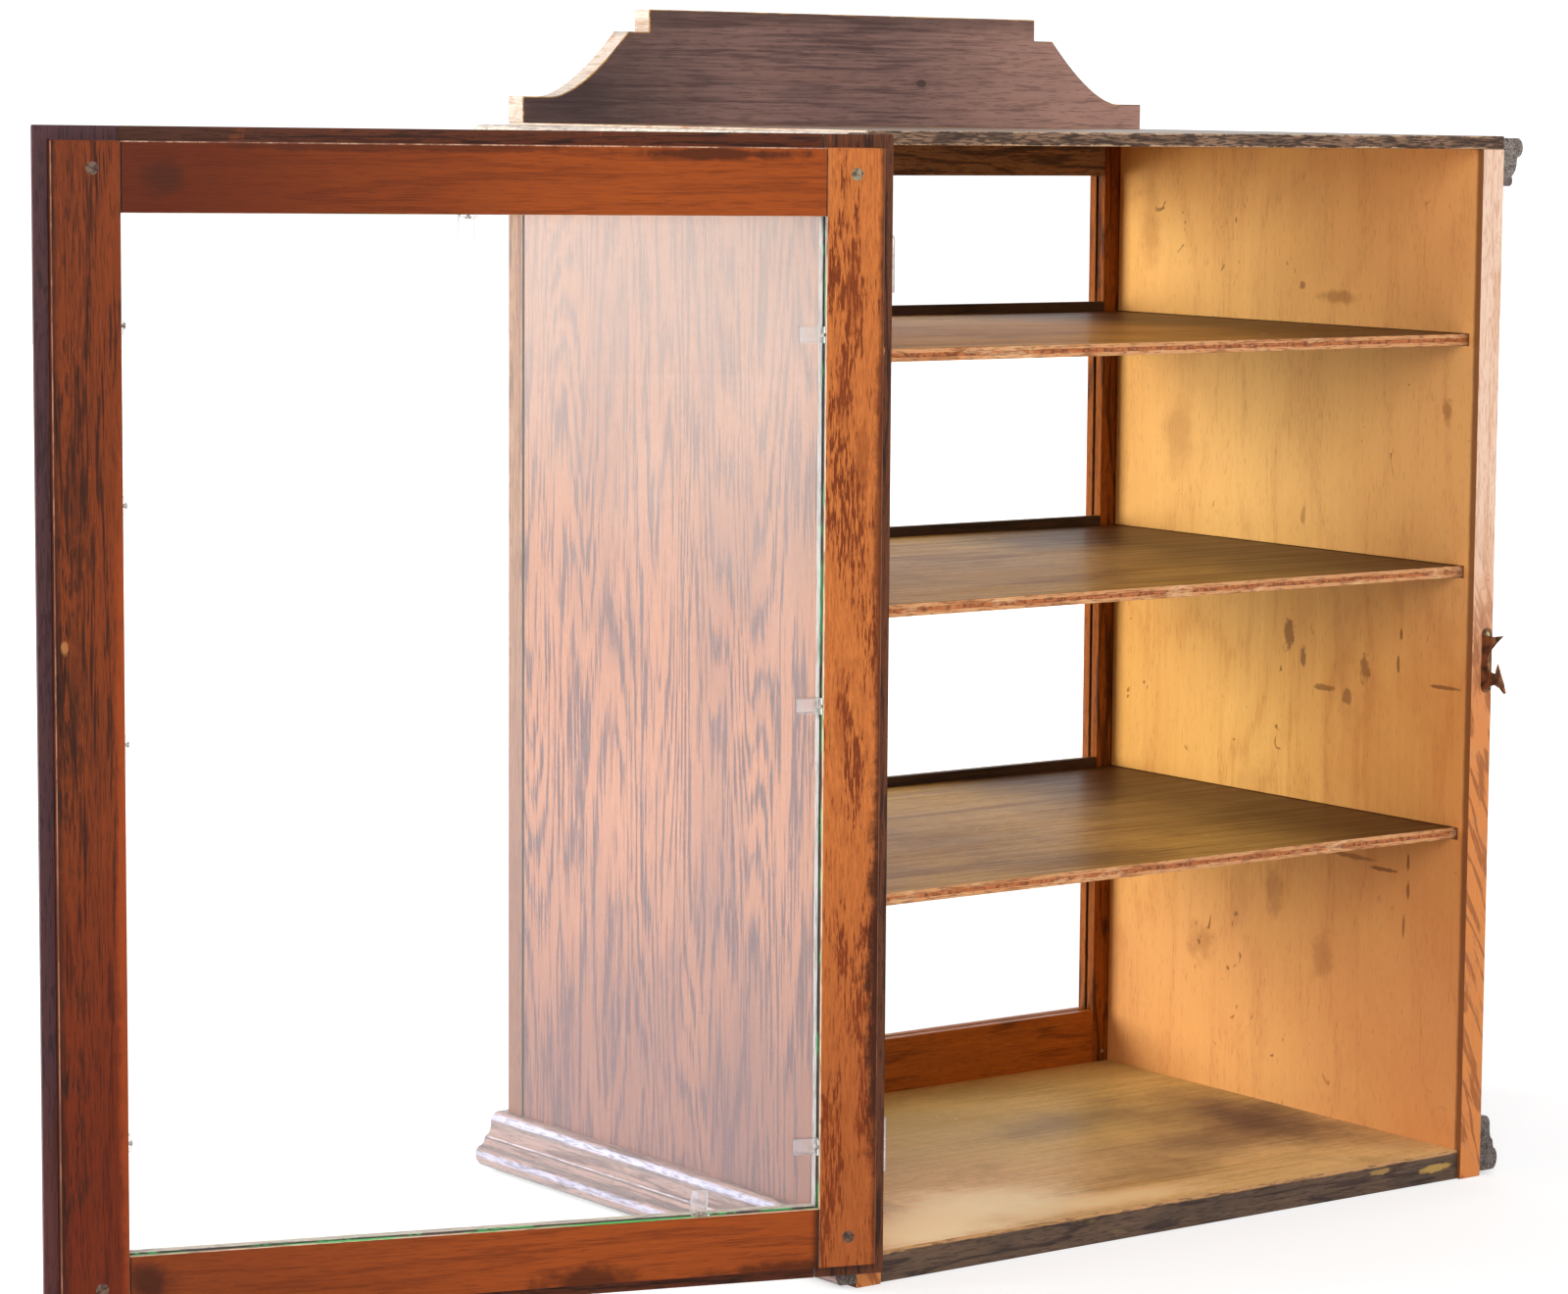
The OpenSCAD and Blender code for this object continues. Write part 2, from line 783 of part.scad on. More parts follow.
module door_rail(z, h) {
  intersection() {
    door_blank();
    block(open_l, outer_y, z, open_r - open_l, door_t, h);
  }
}

module door_top_rail() {
  color([0.45, 0.20, 0.09]) swing() difference() {
    union() {
      door_rail(open_hi, door_top_h);
      intersection() {
        door_tenons(0);
        block(door_l, outer_y, open_hi, door_r - door_l, door_t, door_top_h);
      }
    }
    glass_groove();
    corner_screw_spaces();
    clip_screw_set();
  }
}

module door_bottom_rail() {
  color([0.50, 0.23, 0.10]) swing() difference() {
    union() {
      door_rail(door_lo, door_bottom_h);
      intersection() {
        door_tenons(0);
        block(door_l, outer_y, door_lo, door_r - door_l, door_t, door_bottom_h);
      }
    }
    glass_groove();
    corner_screw_spaces();
    clip_screw_set();
  }
}

module door_corner_screws() {
  color([0.42, 0.36, 0.32]) swing()
    for (x = corner_screw_x)
      for (z = corner_screw_z)
        translate([x, inner_y, z]) rotate([90, 0, 0]) rotate([0, 0, 20 + x + z])
          screw(corner_screw_l, corner_screw_r, corner_head_r, true);
}

module door_glass() {
  color([0.80, 0.88, 0.86, 0.35]) swing()
    block(open_l - door_groove_d + door_pane_play, lip_y, open_lo - door_groove_d,
      open_r - open_l + 2 * (door_groove_d - door_pane_play), pane_t,
      open_hi - open_lo + 2 * door_groove_d - door_pane_play);
}

// clip with its corner at the origin: the ribbed foot lies on the glass, the upright on
// the frame
module clip() {
  difference() {
    union() {
      block(0, 0, -clip_w / 2, clip_l, clip_t, clip_w);
      block(0, 0, -clip_w / 2, clip_t, clip_h, clip_w);
      for (z = [-clip_w / 2, clip_w / 2 - clip_rib])
        block(0, 0, z, clip_l, clip_t + clip_rib, clip_rib);
    }
    translate([-1, clip_screw_y, 0]) rotate([0, 90, 0])
      cylinder(r = small_screw_r, h = clip_t + 2);
  }
}

module clip_screw() {
  translate([0, clip_screw_y, 0]) rotate([0, 90, 0]) {
    translate([0, 0, -clip_screw_l]) cylinder(r = small_screw_r,
      h = clip_screw_l + clip_t + 0.1);
    translate([0, 0, clip_t]) cylinder(r1 = small_screw_head, r2 = clip_screw_top_r,
      h = clip_screw_head_t);
  }
}

// the nine clip places around the door opening
module clip_places() {
  h = open_hi - open_lo;
  for (k = clip_left_z)
    translate([open_l, pane_y, open_lo + (1 - k) * h]) children();
  for (k = clip_right_z)
    translate([open_r, pane_y, open_lo + (1 - k) * h]) mirror([1, 0, 0]) children();
  translate([open_l + clip_bottom_x * (open_r - open_l), pane_y, open_lo])
    rotate([0, -90, 0]) children();
  translate([open_l + clip_top_x * (open_r - open_l), pane_y, open_hi])
    rotate([0, 90, 0]) children();
}

module clip_screw_set() {
  clip_places() clip_screw();
}

module glass_clips() {
  color([0.90, 0.92, 0.93, 0.35]) swing() clip_places() clip();
}

module clip_screws() {
  color([0.55, 0.53, 0.50]) swing() clip_screw_set();
}

// latch plate on the door's outer face
module latch_plate() {
  color([0.42, 0.30, 0.18]) swing() difference() {
    union() {
      block(latch_x - plate_w / 2, outer_y - plate_t, latch_z - (plate_h - plate_w) / 2,
        plate_w, plate_t, plate_h - plate_w);
      for (s = [-1, 1])
        bar_y(latch_x, outer_y - plate_t, outer_y, latch_z + s * (plate_h - plate_w) / 2,
          plate_w / 2);
    }
    bar_y(latch_x, outer_y - 5, outer_y + 5, latch_z, spindle_r + spindle_play);
    latch_screw_spaces();
  }
}

module latch_screw_spaces() {
  for (s = [-1, 1])
    translate([latch_x, outer_y - plate_t, latch_z + s * latch_screw_z])
      rotate([-90, 0, 0]) screw_space(small_screw_l, small_screw_r, small_screw_head);
}

module latch_screws() {
  color([0.66, 0.60, 0.50]) swing()
    for (s = [-1, 1])
      translate([latch_x, outer_y - plate_t, latch_z + s * latch_screw_z])
        rotate([-90, 0, 0]) rotate([0, 0, 50 * s]) screw(small_screw_l, small_screw_r,
          small_screw_head, true);
}

module latch_spindle() {
  color([0.50, 0.38, 0.24]) swing()
    bar_y(latch_x, knob_y - 8, outer_y + spindle_in, latch_z, spindle_r);
}

// tongue that points up when unlatched and turns down behind the keeper's hook
module latch_tongue() {
  color([0.45, 0.33, 0.20]) swing() difference() {
    union() {
      bar_y(latch_x, tongue_y - tongue_t, tongue_y, latch_z, tongue_boss_r);
      block(latch_x - tongue_h / 2, tongue_y - tongue_t, latch_z, tongue_h, tongue_t,
        tongue_reach - tongue_tip);
      block(latch_x - tongue_h / 2 + tongue_step, tongue_y - tongue_t, latch_z,
        tongue_h - 2 * tongue_step, tongue_t, tongue_reach);
    }
    bar_y(latch_x, tongue_y - tongue_t - 1, tongue_y + 1, latch_z, spindle_r);
  }
}

// thumb knob: a collar and an oval grip in line with the tongue
module latch_knob() {
  color([0.48, 0.35, 0.20]) swing() difference() {
    union() {
      bar_y(latch_x, knob_y - knob_collar_l, knob_y, latch_z, knob_collar_r);
      translate([latch_x, knob_y - knob_out, latch_z]) scale([knob_flat, knob_deep, 1])
        sphere(r = knob_r);
    }
    bar_y(latch_x, knob_y - 8, knob_y + 1, latch_z, spindle_r);
  }
}

side_panel_left();
side_panel_right();
top_board();
bottom_board();
shelf_upper();
shelf_middle();
shelf_lower();
ledge_upper();
ledge_middle();
ledge_lower();
window_stile_left();
window_stile_right();
window_top_rail();
window_bottom_rail();
window_glass();
crest_board();
crest_dowels();
crown_left();
crown_right();
crown_window();
base_left();
base_right();
base_window();
case_nails();
window_nails();
keeper();
keeper_screws();
upper_hinge_case_leaf();
lower_hinge_case_leaf();
upper_hinge_pin();
lower_hinge_pin();
case_hinge_screws();
door_hinge_stile();
door_latch_stile();
door_top_rail();
door_bottom_rail();
door_glass();
glass_clips();
clip_screws();
door_corner_screws();
upper_hinge_door_leaf();
lower_hinge_door_leaf();
door_hinge_screws();
latch_plate();
latch_screws();
latch_spindle();
latch_tongue();
latch_knob();
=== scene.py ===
import bpy
import json
import math
from mathutils import Matrix, Vector

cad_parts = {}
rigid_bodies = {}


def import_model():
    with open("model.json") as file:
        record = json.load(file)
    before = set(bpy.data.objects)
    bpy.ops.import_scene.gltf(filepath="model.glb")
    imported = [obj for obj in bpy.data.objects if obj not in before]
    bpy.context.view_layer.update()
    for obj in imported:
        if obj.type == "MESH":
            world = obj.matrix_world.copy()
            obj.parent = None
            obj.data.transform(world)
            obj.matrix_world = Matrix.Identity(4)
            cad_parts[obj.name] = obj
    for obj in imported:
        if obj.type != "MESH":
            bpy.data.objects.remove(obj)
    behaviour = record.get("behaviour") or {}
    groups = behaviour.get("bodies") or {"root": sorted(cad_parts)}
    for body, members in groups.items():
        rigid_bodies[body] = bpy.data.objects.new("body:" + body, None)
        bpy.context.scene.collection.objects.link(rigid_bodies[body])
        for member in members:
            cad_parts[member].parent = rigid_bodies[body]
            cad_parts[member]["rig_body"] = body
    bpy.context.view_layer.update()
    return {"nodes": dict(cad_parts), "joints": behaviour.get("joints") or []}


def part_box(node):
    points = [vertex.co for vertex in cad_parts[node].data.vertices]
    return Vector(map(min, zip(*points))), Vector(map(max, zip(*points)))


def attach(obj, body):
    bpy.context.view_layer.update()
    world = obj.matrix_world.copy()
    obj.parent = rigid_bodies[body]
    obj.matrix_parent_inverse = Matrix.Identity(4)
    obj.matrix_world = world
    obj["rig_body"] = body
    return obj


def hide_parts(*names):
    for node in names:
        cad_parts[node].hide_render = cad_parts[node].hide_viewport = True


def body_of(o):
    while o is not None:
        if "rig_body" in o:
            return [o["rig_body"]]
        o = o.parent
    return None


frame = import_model()
nodes = frame["nodes"]
mm = 0.001
print("frame loaded")

# where the photograph was taken from, worked out in the cabinet's own frame
photoView = {"imageWidth": 1600, "focalPixels": 4851.9, "axisX": 1084.5, "azimuth": -39.09,
             "elevation": 6.51, "roll": 0.79, "distance": 3.8466, "centre": (-0.019, 0.011, 0.4355),
             "sideways": 0.0708}

studio = {"worldLight": 0.42, "glossyLight": 0.75, "whiteLevel": 1.2, "floorSize": 24.0,
          "floorColour": (0.9, 0.9, 0.9), "floorWhite": 1.66, "nearGlow": 0.35, "glowReach": (0.8, 2.6)}

lamps = {
    "keyLamp": {"place": (-2.4, -3.4, 2.2), "aim": (0, 0, 0.4), "size": 2.2, "power": 85},
    "fillLamp": {"place": (2.6, -3.4, 1.6), "aim": (0, 0, 0.4), "size": 2.0, "power": 30},
    "topLamp": {"place": (0.2, 0.4, 3.2), "aim": (0, 0, 0.4), "size": 2.0, "power": 20},
    "windowLamp": {"place": (-2.5, 1.9, 1.1), "aim": (0.2, 0.1, 0.45), "size": 1.9, "power": 140}}


# a colour written as 0xRRGGBB, in linear light
def linear(colour):
    parts = [(colour >> shift & 255) / 255 for shift in (16, 8, 0)]
    return [part / 12.92 if part <= 0.04045 else ((part + 0.055) / 1.055) ** 2.4 for part in parts]


def deselectAll():
    if bpy.context.object and bpy.context.object.mode != "OBJECT":
        bpy.ops.object.mode_set(mode="OBJECT")
    bpy.ops.object.select_all(action="DESELECT")


def makeActive(piece):
    deselectAll()
    piece.select_set(True)
    bpy.context.view_layer.objects.active = piece


def placeCamera(view):
    az, el = math.radians(view["azimuth"]), math.radians(view["elevation"])
    outward = Vector((math.sin(az) * math.cos(el), -math.cos(az) * math.cos(el), math.sin(el)))
    right = (-outward).cross(Vector((0, 0, 1))).normalized()
    up = right.cross(-outward)
    roll = math.radians(view["roll"])
    rolledRight = math.cos(roll) * right + math.sin(roll) * up
    rolledUp = math.cos(roll) * up - math.sin(roll) * right
    target = Vector(view["centre"]) + view["sideways"] * right
    place = target + view["distance"] * outward
    bpy.ops.object.camera_add(location=place)
    camera = bpy.context.object
    camera.name = "photoCamera"
    turn = Matrix((rolledRight, rolledUp, outward)).transposed()
    camera.matrix_world = Matrix.Translation(place) @ turn.to_4x4()
    camera.data.sensor_width = 36
    camera.data.lens = view["focalPixels"] * 36 / view["imageWidth"]
    camera.data.shift_x = 0.5 - view["axisX"] / view["imageWidth"]
    camera.data.clip_end = 100
    bpy.context.scene.camera = camera


# small helpers for shader trees

def addNode(tree, kind, **values):
    node = tree.nodes.new(kind)
    for key, value in values.items():
        setattr(node, key, value)
    return node


def setInput(tree, socket, value):
    if isinstance(value, bpy.types.NodeSocket):
        tree.links.new(value, socket)
    else:
        socket.default_value = value


def maths(tree, operation, first, second=0.0, clamp=False):
    node = addNode(tree, "ShaderNodeMath", operation=operation, use_clamp=clamp)
    setInput(tree, node.inputs[0], first)
    setInput(tree, node.inputs[1], second)
    return node.outputs[0]


def plus(tree, first, second):
    return maths(tree, "ADD", first, second)


def minus(tree, first, second):
    return maths(tree, "SUBTRACT", first, second)


def times(tree, first, second):
    return maths(tree, "MULTIPLY", first, second)


def vectorMaths(tree, operation, first, second):
    node = addNode(tree, "ShaderNodeVectorMath", operation=operation)
    setInput(tree, node.inputs[0], first)
    setInput(tree, node.inputs[1], second)
    return node.outputs["Value"] if operation in ("LENGTH", "DOT_PRODUCT") else node.outputs[0]


def noise(tree, vector, scale=1.0, detail=2.0, rough=0.5, warp=0.0):
    node = addNode(tree, "ShaderNodeTexNoise")
    setInput(tree, node.inputs["Vector"], vector)
    setInput(tree, node.inputs["Scale"], scale)
    node.inputs["Detail"].default_value = detail
    node.inputs["Roughness"].default_value = rough
    node.inputs["Distortion"].default_value = warp
    return node.outputs["Fac"]


def remap(tree, value, low, high, toLow=0.0, toHigh=1.0):
    node = addNode(tree, "ShaderNodeMapRange", clamp=True, interpolation_type="SMOOTHSTEP")
    for socket, given in zip(node.inputs, (value, low, high, toLow, toHigh)):
        setInput(tree, socket, given)
    return node.outputs[0]


def mixColour(tree, factor, first, second):
    node = addNode(tree, "ShaderNodeMix", data_type="RGBA")
    setInput(tree, node.inputs[0], factor)
    setInput(tree, node.inputs[6], first)
    setInput(tree, node.inputs[7], second)
    return node.outputs[2]


def mixShaders(tree, share, first, second):
    blend = addNode(tree, "ShaderNodeMixShader")
    for socket, source in zip(blend.inputs, (share, first, second)):
        tree.links.new(source, socket)
    return blend.outputs[0]


def splitVector(tree, vector):
    parts = addNode(tree, "ShaderNodeSeparateXYZ")
    tree.links.new(vector, parts.inputs[0])
    return parts.outputs


def startGroup(name, inputs, outputs):
    group = bpy.data.node_groups.new(name, "ShaderNodeTree")
    for socketName, value in inputs:
        kind = "NodeSocketFloat" if isinstance(value, float) else "NodeSocketVector"
        socket = group.interface.new_socket(socketName, in_out="INPUT", socket_type=kind)
        if value is not None:
            socket.default_value = value
    for socketName in outputs:
        group.interface.new_socket(socketName, in_out="OUTPUT", socket_type="NodeSocketFloat")
    source = group.nodes.new("NodeGroupInput")
    sink = group.nodes.new("NodeGroupOutput")
    return group, source.outputs, sink.inputs


grainShape = {"wobbleSize": (110, 110, 5), "wobble": 0.6, "ringShare": 0.8, "bandSoft": 0.26,
              "poreSoft": 0.06, "fibreHeight": 0.6}
raggedRange, gatherRange, nickSoft = (0.35, 0.68), (0.48, 0.62), 0.04


# grain that runs along Z: broad rings, bands with jagged edges, fine fibres and dark pores
def buildGrainGroup():
    group, given, result = startGroup(
        "woodGrain",
        [("Vector", None), ("Seed", (0, 0, 0)), ("Figure Size", (14, 14, 1.4)), ("Rings", 9.0),
         ("Streak Size", (330, 330, 16)), ("Jag", 1.0), ("Cut", 0.5), ("Pore Size", (800, 800, 90)),
         ("Pore Cut", 0.56), ("Pore Follow", 0.07)],
        ["Rings", "Bands", "Fibres", "Pores", "Height"])
    moved = vectorMaths(group, "ADD", given["Vector"], given["Seed"])
    broad = noise(group, vectorMaths(group, "MULTIPLY", moved, given["Figure Size"]), detail=2.0, rough=0.45)
    wobble = noise(group, vectorMaths(group, "MULTIPLY", moved, grainShape["wobbleSize"]), detail=2.0,
                   rough=0.6)
    phase = maths(group, "FRACT", plus(group, times(group, broad, given["Rings"]),
                                       times(group, wobble, grainShape["wobble"])))
    distance = maths(group, "ABSOLUTE", minus(group, times(group, phase, 2.0), 1.0))
    rings = minus(group, 1.0, distance)
    fibres = noise(group, vectorMaths(group, "MULTIPLY", moved, given["Streak Size"]), detail=3.0, rough=0.62)
    jagged = times(group, minus(group, fibres, 0.5), given["Jag"])
    level = plus(group, times(group, rings, grainShape["ringShare"]), jagged)
    bands = remap(group, level, given["Cut"], plus(group, given["Cut"], grainShape["bandSoft"]))
    poreNoise = noise(group, vectorMaths(group, "MULTIPLY", moved, given["Pore Size"]), detail=1.0)
    poreLevel = plus(group, poreNoise, times(group, bands, given["Pore Follow"]))
    pores = remap(group, poreLevel, given["Pore Cut"], plus(group, given["Pore Cut"], grainShape["poreSoft"]))
    height = minus(group, times(group, fibres, grainShape["fibreHeight"]), pores)
    for socket, target in zip((rings, bands, fibres, pores, height), result):
        group.links.new(socket, target)
    return group


# nearness to the edges of a board with the given low and high corners, for a pale rim of wear and painted
# highlight
def buildEdgeGroup():
    group, given, result = startGroup(
        "edgeWearAndHighlight",
        [("Vector", None), ("Low", (0, 0, 0)), ("High", (1, 1, 1)), ("Width", 0.002), ("Ragged", 0.8),
         ("Patch Size", 40.0)], ["Mask"])
    nearest = vectorMaths(group, "MINIMUM", vectorMaths(group, "SUBTRACT", given["Vector"], given["Low"]),
                          vectorMaths(group, "SUBTRACT", given["High"], given["Vector"]))
    x, y, z = splitVector(group, nearest)
    total = plus(group, plus(group, x, y), z)
    least = maths(group, "MINIMUM", maths(group, "MINIMUM", x, y), z)
    most = maths(group, "MAXIMUM", maths(group, "MAXIMUM", x, y), z)
    middle = minus(group, minus(group, total, least), most)
    patch = noise(group, given["Vector"], scale=given["Patch Size"], detail=4.0, rough=0.7)
    reach = times(group, given["Width"],
                  remap(group, patch, *raggedRange, minus(group, 1.0, given["Ragged"]), 1.0))
    group.links.new(remap(group, middle, 0.0, reach, 1.0, 0.0), result["Mask"])
    return group


# soft patches, such as stains, haze and worn finish
def buildPatchGroup():
    group, given, result = startGroup(
        "patches",
        [("Vector", None), ("Size", (8, 8, 8)), ("Seed", (0, 0, 0)), ("Low", 0.45), ("High", 0.7)], ["Mask"])
    moved = vectorMaths(group, "ADD", vectorMaths(group, "MULTIPLY", given["Vector"], given["Size"]),
                        given["Seed"])
    cloud = noise(group, moved, detail=5.0, rough=0.58, warp=0.4)
    group.links.new(remap(group, cloud, given["Low"], given["High"]), result["Mask"])
    return group


# one mark at a known place
def buildSpotGroup():
    group, given, result = startGroup(
        "spot",
        [("Vector", None), ("Centre", (0, 0, 0)), ("Stretch", (10, 10, 10)), ("Ragged", 0.8),
         ("Ripple Size", 60.0), ("Soft", 0.4)], ["Mask"])
    offset = vectorMaths(group, "MULTIPLY", vectorMaths(group, "SUBTRACT", given["Vector"], given["Centre"]),
                         given["Stretch"])
    ripple = noise(group, given["Vector"], scale=given["Ripple Size"], detail=4.0, rough=0.65)
    reach = plus(group, vectorMaths(group, "LENGTH", offset, (0, 0, 0)),
                 times(group, minus(group, ripple, 0.5), given["Ragged"]))
    group.links.new(remap(group, reach, minus(group, 1.0, given["Soft"]), 1.0, 1.0, 0.0), result["Mask"])
    return group


# small nicks and scratches that gather in some places
def buildNickGroup():
    group, given, result = startGroup(
        "nicks", [("Vector", None), ("Size", (60, 60, 60)), ("Gather", 5.0), ("Cut", 0.7)], ["Mask"])
    fine = noise(group, vectorMaths(group, "MULTIPLY", given["Vector"], given["Size"]), detail=2.0,
                 rough=0.6, warp=1.2)
    here = remap(group, noise(group, given["Vector"], scale=given["Gather"]), *gatherRange)
    marks = remap(group, fine, given["Cut"], plus(group, given["Cut"], nickSoft))
    group.links.new(times(group, marks, here), result["Mask"])
    return group


def useGroup(tree, group, **inputs):
    node = addNode(tree, "ShaderNodeGroup", node_tree=group)
    for key, value in inputs.items():
        setInput(tree, node.inputs[key.replace("_", " ")], value)
    return node.outputs


def newMaterial(name, roughness=0.5, **plain):
    material = bpy.data.materials.new(name)
    material.use_nodes = True
    tree = material.node_tree
    shader = tree.nodes["Principled BSDF"]
    shader.inputs["Roughness"].default_value = roughness
    for key, value in plain.items():
        shader.inputs[key.replace("_", " ")].default_value = value
    return material, tree, shader


def bumpNormal(tree, shader, height, strength, distance):
    bump = addNode(tree, "ShaderNodeBump")
    bump.inputs["Strength"].default_value = strength
    bump.inputs["Distance"].default_value = distance
    tree.links.new(height, bump.inputs["Height"])
    tree.links.new(bump.outputs["Normal"], shader.inputs["Normal"])


# the door's pattern space is the closed door's place, so its grain stays on it
doorHinge = [joint for joint in frame["joints"] if joint["name"] == "door_hinge"][0]
doorAngle = math.radians(-doorHinge["range_deg"][0])
pinPlace = Vector(doorHinge["pos_m"])
closing = Matrix.Rotation(doorAngle, 3, "Z")


def toClosed(point):
    return closing @ (point - pinPlace) + pinPlace


def patternSpace(tree, onDoor=False):
    place = addNode(tree, "ShaderNodeTexCoord").outputs["Object"]
    if onDoor:
        turned = addNode(tree, "ShaderNodeMapping")
        turned.inputs["Rotation"].default_value = (0, 0, doorAngle)
        turned.inputs["Location"].default_value = pinPlace - closing @ pinPlace
        tree.links.new(place, turned.inputs["Vector"])
        place = turned.outputs["Vector"]
    return place


def alongGrain(tree, place, grainAxis):
    if grainAxis == "z":
        return place
    parts = splitVector(tree, place)
    whole = addNode(tree, "ShaderNodeCombineXYZ")
    for target, source in enumerate({"x": (1, 2, 0), "y": (2, 0, 1)}[grainAxis]):
        tree.links.new(parts[source], whole.inputs[target])
    return whole.outputs[0]


grainGroup = buildGrainGroup()
edgeGroup = buildEdgeGroup()
patchGroup = buildPatchGroup()
spotGroup = buildSpotGroup()
nickGroup = buildNickGroup()
print("shader groups built")

# figure, streaks and poreSize say how often a pattern comes in a metre, and bands, ringShade, fibres and
# pores how strongly it shows; the lists hold rows:
# layers (axis, from, to, softness, ripple, ripple size, strength, colour, pits, pit size), where the pits are
# a colour or a share of the layer's own; stains (size, strength, colour, low, high, and at will a seed);
# fades (axis, start, end, strength, colour, and at will a ripple and its size); flames (axis, start, end,
# strength, colour, tilt, seed, figure, rings, cut, streaks, jag); edges (low corner, high corner, width,
# raggedness, patch size, strength, colour); spots (centre, radii, strength, colour, and at will what
# spotDefaults gives); nicks (size, gathering, cut, strength, colour)
woodDefaults = dict(
    grain="z", onDoor=False, seed=(0, 0, 0), figure=(14, 14, 1.4), rings=9.0, streaks=(330, 330, 16),
    jag=1.0, cut=0.5, poreSize=(800, 800, 90), poreCut=0.56, poreFollow=0.07, bands=0.7,
    ringShade=0.1, fibres=0.3, pores=0.5, roughness=(0.38, 0.55), specular=0.3, coat=0.0,
    bump=0.25, gain=(1, 1, 1), layers=[], stains=[], fades=[], flames=[], edges=[], spots=[], nicks=[])
spotDefaults = (0.9, 60.0, 0.4)  # raggedness, ripple size, softness
fadeRippleSize = 12
fibreRange, sheenRange, pitRange = (0.3, 0.7), (0.3, 0.75), (0.5, 0.6)
woodBumpDepth, coatRoughness = 0.4 * mm, 0.22


# wood in a light, a dark and a pore colour, with all that the look lists laid over it in turn
def makeWood(name, **values):
    look = dict(woodDefaults, **values)
    material, tree, shader = newMaterial(name, Specular_IOR_Level=look["specular"],
                                         Coat_Weight=look["coat"], Coat_Roughness=coatRoughness)
    place = patternSpace(tree, look["onDoor"])

    def toned(paint, share=1.0):
        return (*[part * share * factor for part, factor in zip(linear(paint), look["gain"])], 1)

    def laid(under, mask, amount, paint):
        return mixColour(tree, times(tree, mask, amount), under, toned(paint))

    def along(axis):
        return splitVector(tree, place)["xyz".index(axis)]

    def rippled(axis, size, detail, reach):
        ripple = noise(tree, place, scale=size, detail=detail, rough=0.6)
        return plus(tree, along(axis), times(tree, minus(tree, ripple, 0.5), reach))

    light, dark, pore = look["tones"]
    grain = useGroup(tree, grainGroup, Vector=alongGrain(tree, place, look["grain"]), Seed=look["seed"],
                     Figure_Size=look["figure"], Rings=look["rings"], Streak_Size=look["streaks"],
                     Jag=look["jag"], Cut=look["cut"], Pore_Size=look["poreSize"], Pore_Cut=look["poreCut"],
                     Pore_Follow=look["poreFollow"])
    tone = plus(tree, times(tree, grain["Bands"], look["bands"]),
                times(tree, grain["Rings"], look["ringShade"]))
    fibreTone = remap(tree, grain["Fibres"], *fibreRange, 0.0, look["fibres"])
    tone = maths(tree, "ADD", tone, fibreTone, clamp=True)
    colour = mixColour(tree, tone, toned(light), toned(dark))
    for axis, low, high, soft, reach, size, amount, paint, pit, pitSize in look["layers"]:
        bent = rippled(axis, size, 3.0, reach)
        inside = times(tree, remap(tree, bent, low - soft, low),
                       remap(tree, bent, high, high + soft, 1.0, 0.0))
        pits = remap(tree, noise(tree, place, scale=pitSize, detail=2.0), *pitRange)
        pitTone = toned(paint, pit) if isinstance(pit, float) else toned(pit)
        layerColour = mixColour(tree, pits, toned(paint), pitTone)
        colour = mixColour(tree, times(tree, inside, amount), colour, layerColour)
    for size, amount, paint, low, high, *seed in look["stains"]:
        patch = useGroup(tree, patchGroup, Vector=place, Size=size, Low=low, High=high,
                         Seed=seed[0] if seed else (0, 0, 0))
        colour = laid(colour, patch["Mask"], amount, paint)
    for axis, start, end, amount, paint, *ripple in look["fades"]:
        bent = rippled(axis, (*ripple, fadeRippleSize)[1], 4.0, ripple[0]) if ripple else along(axis)
        colour = mixColour(tree, remap(tree, bent, start, end, 0.0, amount), colour, toned(paint))
    for axis, start, end, amount, paint, tilt, seed, size, rings, cut, streaks, jag in look["flames"]:
        tilted = addNode(tree, "ShaderNodeMapping")
        tilted.inputs["Rotation"].default_value = tilt
        tree.links.new(place, tilted.inputs["Vector"])
        figure = useGroup(tree, grainGroup, Vector=tilted.outputs["Vector"], Seed=seed, Figure_Size=size,
                          Rings=rings, Cut=cut, Streak_Size=streaks, Jag=jag)
        colour = laid(colour, figure["Bands"], remap(tree, along(axis), start, end, 0.0, amount), paint)
    colour = laid(colour, grain["Pores"], look["pores"], pore)
    # rims along a board's edges, which in these looks are partly wear and partly a painted highlight
    for low, high, width, ragged, patchSize, amount, paint in look["edges"]:
        worn = useGroup(tree, edgeGroup, Vector=place, Low=low, High=high, Width=width, Ragged=ragged,
                        Patch_Size=patchSize)
        colour = laid(colour, worn["Mask"], amount, paint)
    for centre, radii, amount, paint, *extra in look["spots"]:
        ragged, rippleSize, soft = (*extra, *spotDefaults[len(extra):])
        mark = useGroup(tree, spotGroup, Vector=place, Centre=centre, Ragged=ragged, Soft=soft,
                        Stretch=tuple(1 / radius for radius in radii), Ripple_Size=rippleSize)
        colour = laid(colour, mark["Mask"], amount, paint)
    for size, gather, cut, amount, paint in look["nicks"]:
        marks = useGroup(tree, nickGroup, Vector=place, Size=size, Gather=gather, Cut=cut)
        colour = laid(colour, marks["Mask"], amount, paint)
    tree.links.new(colour, shader.inputs["Base Color"])
    sheen = remap(tree, grain["Fibres"], *sheenRange, *look["roughness"])
    tree.links.new(sheen, shader.inputs["Roughness"])
    bumpNormal(tree, shader, grain["Height"], look["bump"], woodBumpDepth)
    return material


# the low and high corners of some nodes with the door closed
def closedBox(nodeNames):
    points = [toClosed(vertex.co) for nodeName in nodeNames for vertex in nodes[nodeName].data.vertices]
    return [Vector([pick(point[i] for point in points) for i in range(3)]) for pick in (min, max)]


